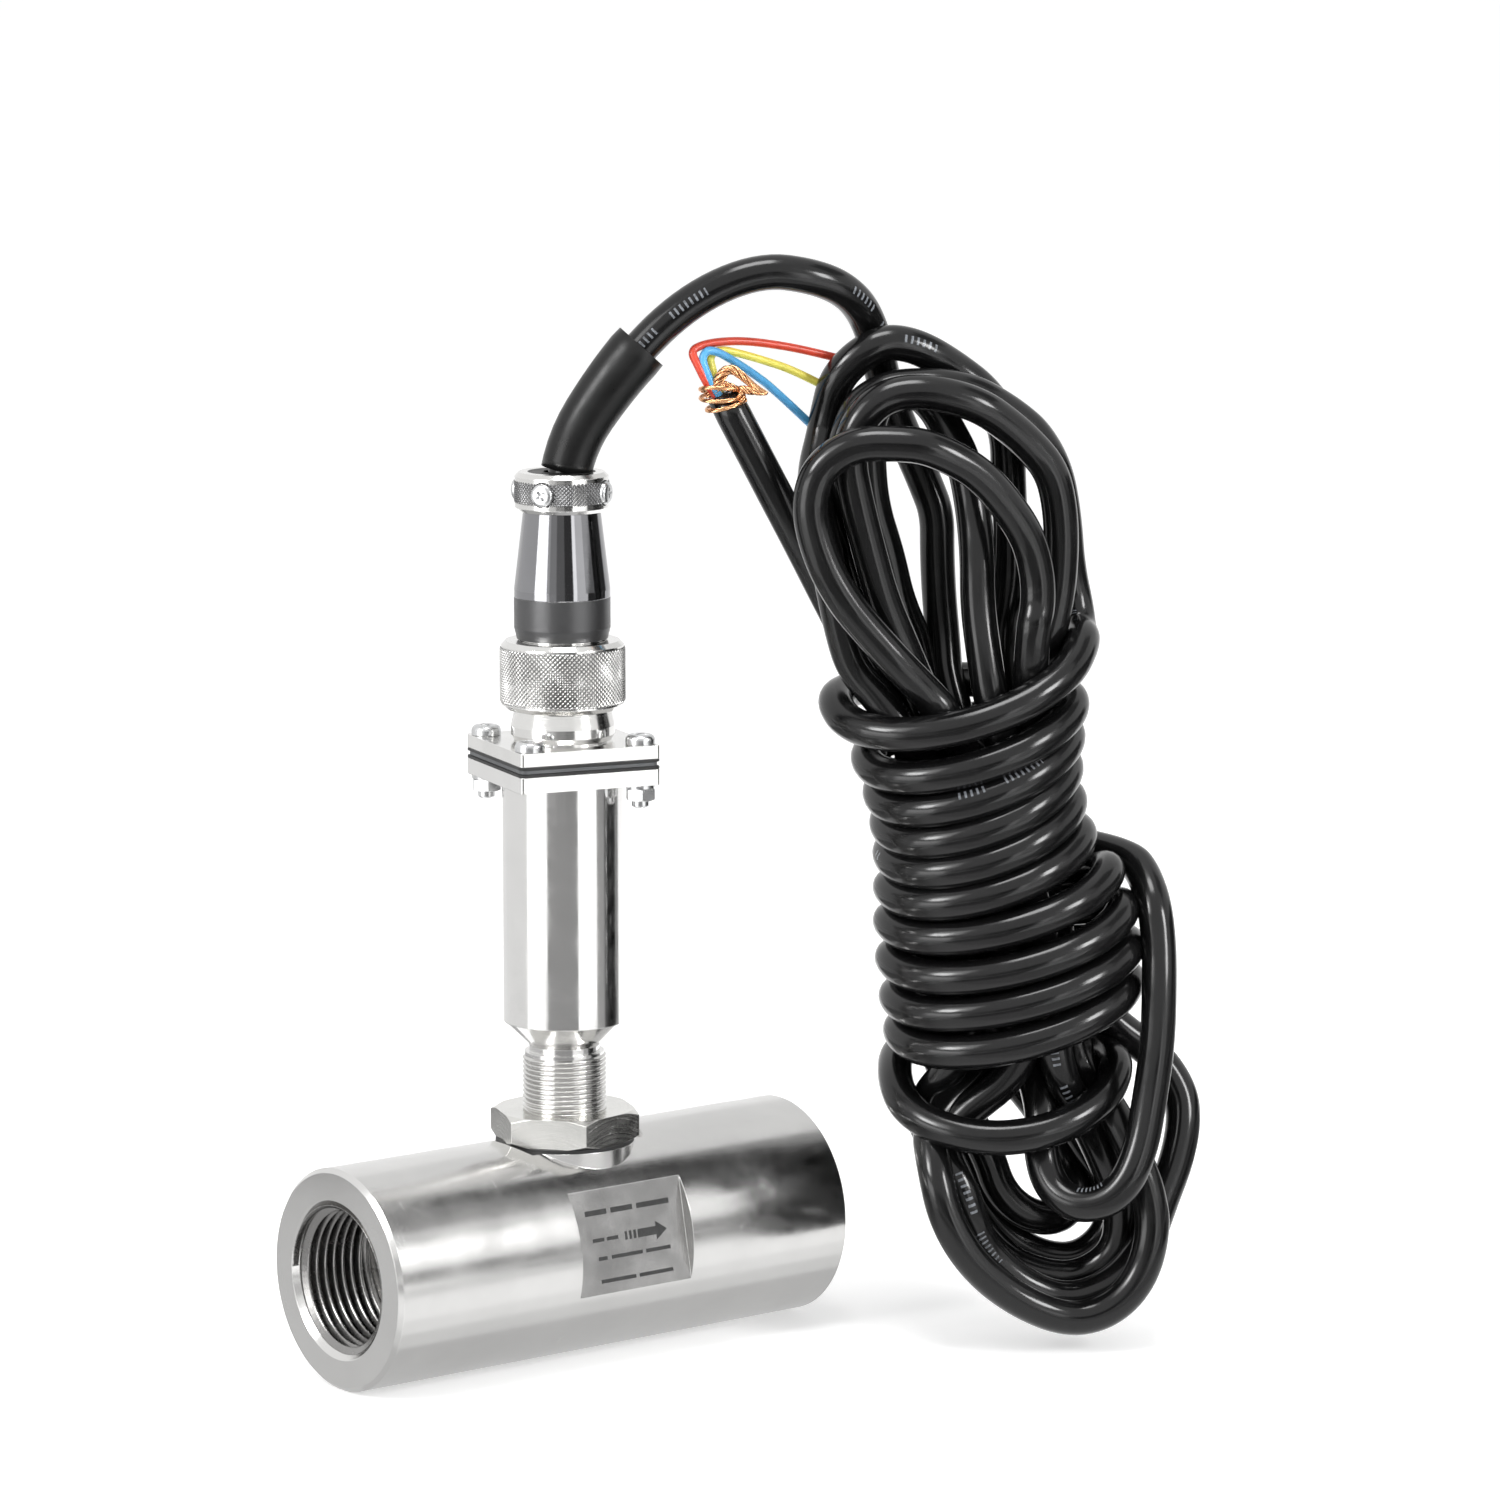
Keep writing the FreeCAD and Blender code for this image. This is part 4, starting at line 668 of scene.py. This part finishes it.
def ridge_mesh(name, axis, base, crest, pitch, start, end, foot_share=0.92, steps=72, centre=(0, 0, 0)):
    """A helical thread ridge from one place along the axis to another. Radii in millimetres."""
    turns = (end - start) / pitch
    count = int(turns * steps) + 1
    verts, faces = [], []
    half = pitch * foot_share / 2
    profile = [(-half, 0.0), (-half * 0.28, 0.88), (-half * 0.1, 1.0), (half * 0.1, 1.0), (half * 0.28, 0.88),
               (half, 0.0)]
    for i in range(count):
        a = 2 * math.pi * i / steps
        x = start + pitch * i / steps
        grow = min(1.0, i / (steps * 0.5), (count - 1 - i) / (steps * 0.5))
        for along, rise in profile:
            r = base + (crest - base) * rise * grow
            if axis == "X":
                verts.append(((x + along) * MM, r * math.cos(a) * MM, r * math.sin(a) * MM))
            else:
                verts.append((r * math.cos(a) * MM, r * math.sin(a) * MM, (x + along) * MM))
    width = len(profile)
    for i in range(count - 1):
        for k in range(width - 1):
            q = i * width + k
            faces.append((q, q + 1, q + 1 + width, q + width))
        q = i * width
        faces.append((q + width - 1, q, q + width, q + 2 * width - 1))
    faces.append(tuple(range(width)))
    faces.append(tuple(range((count - 1) * width, count * width))[::-1])
    mesh = bpy.data.meshes.new(name)
    mesh.from_pydata([(x + centre[0], y + centre[1], z + centre[2]) for x, y, z in verts], [], faces)
    mesh.validate()
    bm = bmesh.new()
    bm.from_mesh(mesh)
    bmesh.ops.recalc_face_normals(bm, faces=bm.faces)
    bm.to_mesh(mesh)
    bm.free()
    return mesh


for name, start, end in (("inlet_thread_ridge", -62.0, -42.9), ("outlet_thread_ridge", 42.9, 62.0)):
    piece(name, ridge_mesh(name, "X", 16.75, 15.15, 2.309, start, end, centre=BORE), "shaded_bore_thread_steel",
          "meter")
piece("stem_thread_ridge", ridge_mesh("stem_thread_ridge", "Z", 8.95, 9.5, 1.1, 55.0, 68.6), "thread_steel",
      "meter")


def knurl_mesh(name, low, high, bottom, top, around, fine=8):
    """A band of pyramid knurling round the stem axis."""
    pitch = 2 * math.pi * low / around
    rows = max(2, int(round((top - bottom) / pitch * fine)))
    columns = around * fine
    verts, faces, rises = [], [], []
    for j in range(rows + 1):
        z = bottom + (top - bottom) * j / rows
        rim = min(1.0, 1.6 * j / fine, 1.6 * (rows - j) / fine)
        v = (z - bottom) / pitch
        for i in range(columns):
            u = i / fine
            one = 1 - abs(2 * ((u + v) % 1) - 1)
            two = 1 - abs(2 * ((u - v) % 1) - 1)
            rises.append(min(1.0, 1.35 * min(one, two)) * rim)
            r = low + (high - low) * rises[-1]
            a = 2 * math.pi * i / columns
            verts.append((r * math.cos(a) * MM, r * math.sin(a) * MM, z * MM))
    for j in range(rows):
        for i in range(columns):
            k = (i + 1) % columns
            faces.append((j * columns + i, j * columns + k, (j + 1) * columns + k, (j + 1) * columns + i))
    mesh = bpy.data.meshes.new(name)
    mesh.from_pydata(verts, [], faces)
    mesh.attributes.new("rise", "FLOAT", "POINT").data.foreach_set("value", rises)
    return mesh


piece("coupling_nut_knurl", knurl_mesh("coupling_nut_knurl", 13.76, 14.12, 148.5, 161.4, 80), "knurl_plate",
      "coupling_nut")
piece("clamp_ring_knurl", knurl_mesh("clamp_ring_knurl", 10.47, 10.66, 193.4, 198.7, 72), "clamp_band_plate",
      "plug")

# ---------------------------------------------------------------- screws

FLANGE_TOP, FLANGE_SCREW_REACH = 140.0, 13.25
CLAMP_SCREW_SEAT, CLAMP_SCREW_HEIGHT = 10.25, 196.0


def lathe(profile, segments=40):
    """A closed solid of revolution from (radius, height) pairs in millimetres, bottom to top."""
    bm = bmesh.new()
    rings = []
    for r, z in profile:
        if r < 1e-6:
            rings.append([bm.verts.new((0, 0, z * MM))])
        else:
            rings.append([bm.verts.new((r * math.cos(2 * math.pi * k / segments) * MM,
                                        r * math.sin(2 * math.pi * k / segments) * MM, z * MM))
                          for k in range(segments)])
    for one, two in zip(rings, rings[1:]):
        for k in range(segments):
            n = (k + 1) % segments
            if len(one) == 1:
                bm.faces.new((one[0], two[n], two[k]))
            elif len(two) == 1:
                bm.faces.new((one[k], one[n], two[0]))
            else:
                bm.faces.new((one[k], one[n], two[n], two[k]))
    if len(rings[0]) > 1:
        bm.faces.new(rings[0][::-1])
    if len(rings[-1]) > 1:
        bm.faces.new(rings[-1])
    bmesh.ops.recalc_face_normals(bm, faces=bm.faces)
    mesh = bpy.data.meshes.new("lathe")
    bm.to_mesh(mesh)
    bm.free()
    return mesh


def cross_cutter(reach, width, top, depth):
    """Two crossed tapering bars for a cross recess."""
    bm = bmesh.new()
    for turn in (0, 1):
        corners = []
        for z, share in ((top + 0.6, 1.0), (top - depth, 0.45)):
            a, b = reach * share * MM, width * (0.5 + 0.5 * share) / 2 * MM
            corners.append([(x, y, z * MM) if not turn else (-y, x, z * MM)
                            for x, y in ((-a, -b), (a, -b), (a, b), (-a, b))])
        up = [bm.verts.new(c) for c in corners[0]]
        low = [bm.verts.new(c) for c in corners[1]]
        bm.faces.new(up)
        bm.faces.new(low[::-1])
        for k in range(4):
            n = (k + 1) % 4
            bm.faces.new((up[n], up[k], low[k], low[n]))
    bmesh.ops.recalc_face_normals(bm, faces=bm.faces)
    mesh = bpy.data.meshes.new("cross")
    bm.to_mesh(mesh)
    bm.free()
    return mesh


def cut(mesh, cutter):
    """The mesh with the cutter's space taken away."""
    a = link(bpy.data.objects.new("cut_a", mesh))
    b = link(bpy.data.objects.new("cut_b", cutter))
    modifier = a.modifiers.new("cut", "BOOLEAN")
    modifier.operation = "DIFFERENCE"
    modifier.solver = "EXACT"
    modifier.use_self = True
    modifier.object = b
    bpy.context.view_layer.update()
    out = bpy.data.meshes.new_from_object(a.evaluated_get(bpy.context.evaluated_depsgraph_get()))
    for obj, data in ((a, mesh), (b, cutter)):
        bpy.data.objects.remove(obj)
        bpy.data.meshes.remove(data)
    return out


def screw_form(head, height, rim, crown, shank, length, recess=0.62):
    """Pan head screw, its head's seat at height 0, with a cross recess."""
    profile = [(0, -length), (shank - 0.3, -length), (shank, -length + 0.3), (shank, 0), (head - 0.12, 0),
               (head, 0.12), (head, rim)]
    for k in range(1, 7):
        t = k / 6 * math.pi / 2
        profile.append((crown + (head - crown) * math.cos(t), rim + (height - rim) * math.sin(t)))
    profile.append((0, height + 0.12))
    body = lathe(profile)
    return cut(body, cross_cutter(head * recess, head * 0.26, height, height * 0.55))


def placed(mesh, matrix):
    copy = mesh.copy()
    copy.transform(matrix)
    return copy


def smooth_by_angle(mesh, degrees=35):
    mesh.shade_smooth()
    bm = bmesh.new()
    bm.from_mesh(mesh)
    limit = math.radians(degrees)
    for edge in bm.edges:
        if len(edge.link_faces) == 2 and edge.calc_face_angle(0) > limit:
            edge.smooth = False
    bm.to_mesh(mesh)
    bm.free()
    return mesh


def flange_screw_set():
    """Three through screws and a short one, at the front corner, that ends in the lower flange."""
    forms = [screw_form(3.35, 2.3, 1.0, 2.1, 1.95, length) for length in (14.2, 8.7)]
    meshes = []
    for k, (sx, sy) in enumerate(((1, 1), (-1, 1), (-1, -1), (1, -1))):
        corner = Vector((sx * FLANGE_SCREW_REACH, sy * FLANGE_SCREW_REACH, FLANGE_TOP)) * MM
        spot = Matrix.Rotation(HEAD_YAW, 4, "Z") @ Matrix.Translation(corner)
        meshes.append(placed(forms[k == 2], spot @ Matrix.Rotation(0.5 + 1.1 * k, 4, "Z")))
    for form in forms:
        bpy.data.meshes.remove(form)
    return smooth_by_angle(join_meshes("flange_screw_set", meshes))


def clamp_screw_set():
    form = screw_form(2.6, 1.35, 0.55, 1.6, 1.4, 3.2)
    meshes = []
    for k in range(4):
        spin = Matrix.Rotation(CLAMP_YAW + k * math.pi / 2, 4, "Z")
        seat = Vector((CLAMP_SCREW_SEAT, 0, CLAMP_SCREW_HEIGHT)) * MM
        out = Matrix.Translation(seat) @ Matrix.Rotation(math.pi / 2, 4, "Y")
        meshes.append(placed(form, spin @ out @ Matrix.Rotation(0.4 + 0.9 * k, 4, "Z")))
    bpy.data.meshes.remove(form)
    return smooth_by_angle(join_meshes("clamp_screw_set", meshes))


piece("flange_screw_set", flange_screw_set(), "zinc_plate", "meter", ("flange_screws",))
piece("clamp_screw_set", clamp_screw_set(), "zinc_plate", "plug", ("clamp_screws",))

# ---------------------------------------------------------------- gasket and marks

def gasket_mesh():
    """Three layers of a square gasket, the middle one set back, with a round opening."""
    layers = [(134.6, 16.7), (134.75, 16.85), (135.25, 16.85), (135.35, 16.6), (135.42, 16.45),
              (136.18, 16.45),
              (136.25, 16.6), (136.35, 16.85), (136.85, 16.85), (137.0, 16.7)]
    corner, bore, steps = 1.5, 9.0, 8
    verts, faces = [], []
    for z, half in layers:
        for q in range(4):
            for k in range(steps + 1):
                a = math.pi / 2 * (q + k / steps)
                x = (half - corner) * (1 if q in (0, 3) else -1) + corner * math.cos(a)
                y = (half - corner) * (1 if q in (0, 1) else -1) + corner * math.sin(a)
                verts.append((x * MM, y * MM, z * MM))
    ring = 4 * (steps + 1)
    for i in range(len(layers) - 1):
        for k in range(ring):
            n = (k + 1) % ring
            faces.append((i * ring + k, i * ring + n, (i + 1) * ring + n, (i + 1) * ring + k))
    first = len(verts)
    for z in (134.6, 137.0):
        for k in range(ring):
            x, y = verts[k][:2]
            a = math.atan2(y, x)
            verts.append((bore * math.cos(a) * MM, bore * math.sin(a) * MM, z * MM))
    top = (len(layers) - 1) * ring
    for k in range(ring):
        n = (k + 1) % ring
        faces.append((first + k, first + n, n, k))
        faces.append((top + k, top + n, first + ring + n, first + ring + k))
        faces.append((first + n, first + k, first + ring + k, first + ring + n))
    mesh = bpy.data.meshes.new("gasket_layers")
    mesh.from_pydata(verts, [], faces)
    mesh.transform(Matrix.Rotation(HEAD_YAW, 4, "Z"))
    return mesh


gasket = piece("gasket_layers", gasket_mesh(), "gasket_rubber", "meter", ("flange_gasket",))
gasket.data.materials.append(MATERIALS["gasket_core"])
for face in gasket.data.polygons:
    z = face.center.z / MM
    if 135.4 < z < 136.2 and face.normal.z ** 2 < 0.2:
        face.material_index = 1


LABEL_OUT, LABEL_TILT = (21.98, 22.11), 11.8


def bar(bm, corners):
    """A thin raised shape, drawn from (along the body, up the flat) corners in millimetres."""
    count = len(corners)
    low, high = [[bm.verts.new((x * MM, y * MM, z * MM)) for x, y in corners] for z in LABEL_OUT]
    bm.faces.new(high)
    bm.faces.new(low[::-1])
    for k in range(count):
        n = (k + 1) % count
        bm.faces.new((low[k], low[n], high[n], high[k]))


def label_marks():
    """A plain flow arrow with bars and plain rows of dashes, on the tilted flat."""
    bm = bmesh.new()
    rows = [(6.6, 0.6, [(-9.3, -3.4), (-2.2, 3.8), (5, 14)]),
            (0.4, 0.42, [(-8, -4.9), (-4.1, -1)]),
            (0.4, 0.95, [(0.9, 1.5), (2.1, 2.75), (3.3, 4.0), (4.5, 9.6)]),
            (-3.8, 0.42, [(-7, -4.6), (-3.4, 5.2), (6.2, 13)]),
            (-8.9, 0.42, [(-7, 2.6), (3.6, 13)])]
    for height, half, spans in rows:
        for a, b in spans:
            bar(bm, [(a, height - half), (b, height - half), (b, height + half), (a, height + half)])
    bar(bm, [(9.6, -1.7), (12.6, 0.4), (9.6, 2.5)])
    bmesh.ops.recalc_face_normals(bm, faces=bm.faces)
    mesh = bpy.data.meshes.new("label_marks")
    bm.to_mesh(mesh)
    bm.free()
    mesh.transform(Matrix.Translation(BORE) @ Matrix.Rotation(math.radians(90 - LABEL_TILT), 4, "X"))
    return mesh


piece("label_marks", label_marks(), "etched_marks", "meter")

# ---------------------------------------------------------------- floor, light, painted reflections

FLOOR_SIDE, FLOOR_SHADE, FLOOR_GLOW = 9.0, 0.95, 0.34


def empty_net(tree):
    net = Net(tree)
    net.nodes.clear()
    return net


def seen(net):
    """1 for camera, glossy and transmission rays."""
    path = net.nodes.new("ShaderNodeLightPath").outputs
    return net.math("MAXIMUM", path["Is Camera Ray"],
                    net.math("MAXIMUM", path["Is Glossy Ray"], path["Is Transmission Ray"]))


def floor():
    mesh = bpy.data.meshes.new("studio_floor")
    mesh.from_pydata([(x * FLOOR_SIDE, y * FLOOR_SIDE, 0) for x, y in ((-1, -1), (1, -1), (1, 1), (-1, 1))],
                     [],
                     [(0, 1, 2, 3)])
    material = bpy.data.materials.new("studio_floor")
    material.use_nodes = True
    net = empty_net(material.node_tree)
    diffuse = net.add("BsdfDiffuse", {"Color": (FLOOR_SHADE, FLOOR_SHADE, FLOOR_SHADE, 1)})
    glow = net.add("Emission", {"Strength": net.math("MULTIPLY", seen(net), FLOOR_GLOW)})
    both = net.add("AddShader", {0: diffuse.outputs[0], 1: glow.outputs[0]})
    net.add("OutputMaterial", {"Surface": both.outputs[0]})
    mesh.materials.append(material)
    link(bpy.data.objects.new("studio_floor", mesh))


def world():
    """White where it is seen or mirrored, a little dimmer as a light."""
    SCENE.world = SCENE.world or bpy.data.worlds.new("studio")
    SCENE.world.use_nodes = True
    net = empty_net(SCENE.world.node_tree)
    sky = net.add("Background", {"Color": (1, 1, 1, 1),
                                 "Strength": net.math("MULTIPLY_ADD", seen(net), 0.3, 0.7)})
    net.add("OutputWorld", {"Surface": sky.outputs[0]})


def toward(azimuth, elevation=0.0):
    """A direction from the stem, in degrees; azimuth 0 is at the camera, positive to its right."""
    a, e = math.radians(azimuth), math.radians(elevation)
    return (-BACK * math.cos(a) + ACROSS * math.sin(a)) * math.cos(e) + Vector((0, 0, math.sin(e)))


def area_light(name, azimuth, elevation, distance, width, height, power):
    """A softbox that faces the object."""
    light = bpy.data.lights.new(name, "AREA")
    light.shape = "RECTANGLE"
    light.size, light.size_y, light.energy = width, height, power
    obj = link(bpy.data.objects.new(name, light))
    obj.location = Vector((0.03, 0.0, 0.12)) + toward(azimuth, elevation) * distance
    obj.rotation_euler = toward(azimuth, elevation).to_track_quat("Z", "Y").to_euler()


def painted_reflection(name, place, shade):
    """A painted reflection: a plain glowing shade that only reflections see, on the surface place(u, v) with
    u and v from 0 to 1.
    """
    steps = 24
    verts = [tuple(place(k / steps, v)) for k in range(steps + 1) for v in (0, 1)]
    mesh = bpy.data.meshes.new(name)
    mesh.from_pydata(verts, [], [(2 * k, 2 * k + 1, 2 * k + 3, 2 * k + 2) for k in range(steps)])
    material = bpy.data.materials.new(name)
    material.use_nodes = True
    net = empty_net(material.node_tree)
    net.add("OutputMaterial", {"Surface": net.add("Emission", {"Strength": shade}).outputs[0]})
    mesh.materials.append(material)
    obj = link(bpy.data.objects.new(name, mesh))
    obj.visible_camera = obj.visible_diffuse = obj.visible_shadow = obj.visible_transmission = False


def dome(name, start, end, low, high, shade, distance):
    """A painted reflection on a patch of a dome round the object, between two azimuths and two elevations."""
    painted_reflection(name, lambda u, v: Vector((0, 0, 0.1)) + distance * toward(start + (end - start) * u,
                                                                         low + (high - low) * v), shade)


def painted_floor_patch(name, start, end, near, far, shade):
    """A painted reflection on a sector of a ring on the floor round the stem, between two azimuths and two
    radii.
    """
    painted_reflection(name, lambda u, v: toward(start + (end - start) * u) * (near + (far - near) * v)
              + Vector((0, 0, 0.0004)), shade)


def painted_reflection_strip(name, start, end, near, far, shade):
    """A painted reflection on a rectangle on the floor in front of the body, between two places along it and
    two distances.
    """
    painted_reflection(name, lambda u, v: (start + (end - start) * u, -near - (far - near) * v, 0.0002), shade)


floor()
world()
area_light("softbox_right", 55, 24, 1.1, 0.24, 0.32, 4.5)
area_light("softbox_left", -52, 30, 1.2, 0.28, 0.32, 4.5)
area_light("softbox_top", 10, 78, 1.1, 0.4, 0.4, 5)
# near and far distance in front of the body's axis, and shade, of painted floor reflections in the body's
# lower half; the dark nearest ones are a painted contact shadow, the brightest a painted highlight
PAINTED_REFLECTION_STRIPS = [(-0.01, 0.027, 0.6), (0.027, 0.036, 0.8), (0.036, 0.05, 1.0), (0.05, 0.12, 1.15),
          (0.12, 0.35, 0.85)]
for k, (near, far, shade) in enumerate(PAINTED_REFLECTION_STRIPS):
    painted_reflection_strip(f"strip_{k}", -0.08 - far, 0.12 + far, near, far, shade)
# azimuths, radii and shade of painted reflections on the floor, which the stem, the nut, the end face and the
# plug mirror; bright ones are painted highlights, dark ones painted shade
PAINTED_FLOOR_REFLECTIONS = [(-29, 29, 0.255, 0.95, 0.34), (-29, -12, 0.95, 2.4, 0.65), (-12, 8, 0.95, 2.4, 0.3),
        (8, 29, 0.95, 2.4, 0.1),
        (-160, -70, 0.33, 2.4, 0.92), (-160, -72, 0.25, 0.33, 0.28), (-100, -45, 0.055, 0.25, 0.67),
        (-160, -100, 0.1, 0.25, 0.45), (-67, -36, 0.95, 2.4, 4.5), (29, 38, 0.95, 2.4, 2.8),
        (38, 66, 0.95, 2.4, 1.5),
        (66, 84, 0.24, 0.95, 0.4), (84, 98, 0.24, 0.95, 0.06), (98, 126, 0.24, 0.95, 0.3),
        (66, 126, 0.95, 2.4, 0.06)]
for k, row in enumerate(PAINTED_FLOOR_REFLECTIONS):
    painted_floor_patch(f"mat_{k}", *row)
# azimuths, elevations and shade of painted reflections on a dome, which the body's upper half, the cable and
# the plug's cone mirror; bright ones are painted highlights, dark ones painted shade
PAINTED_DOME_REFLECTIONS = [(80, 125, 37, 58, 0.27), (74, 84, 29, 37, 0.6), (60, 130, -2, 7, 0.3), (128, 178, 18, 60, 0.85),
         (-64, -34, 26, 50, 4.5), (-67, -36, 0, 14, 4.5), (-29, -12, 0, 14, 0.6), (-12, 8, 0, 14, 0.3),
         (8, 29, 0, 14, 0.1), (29, 38, 0, 14, 2.8), (38, 60, 0, 14, 1.5), (86, 126, 0, 12, 0.06)]
for k, row in enumerate(PAINTED_DOME_REFLECTIONS):
    dome(f"dome_{k}", *row, 1.5 - 0.01 * k)
SCENE.view_settings.view_transform = "Standard"
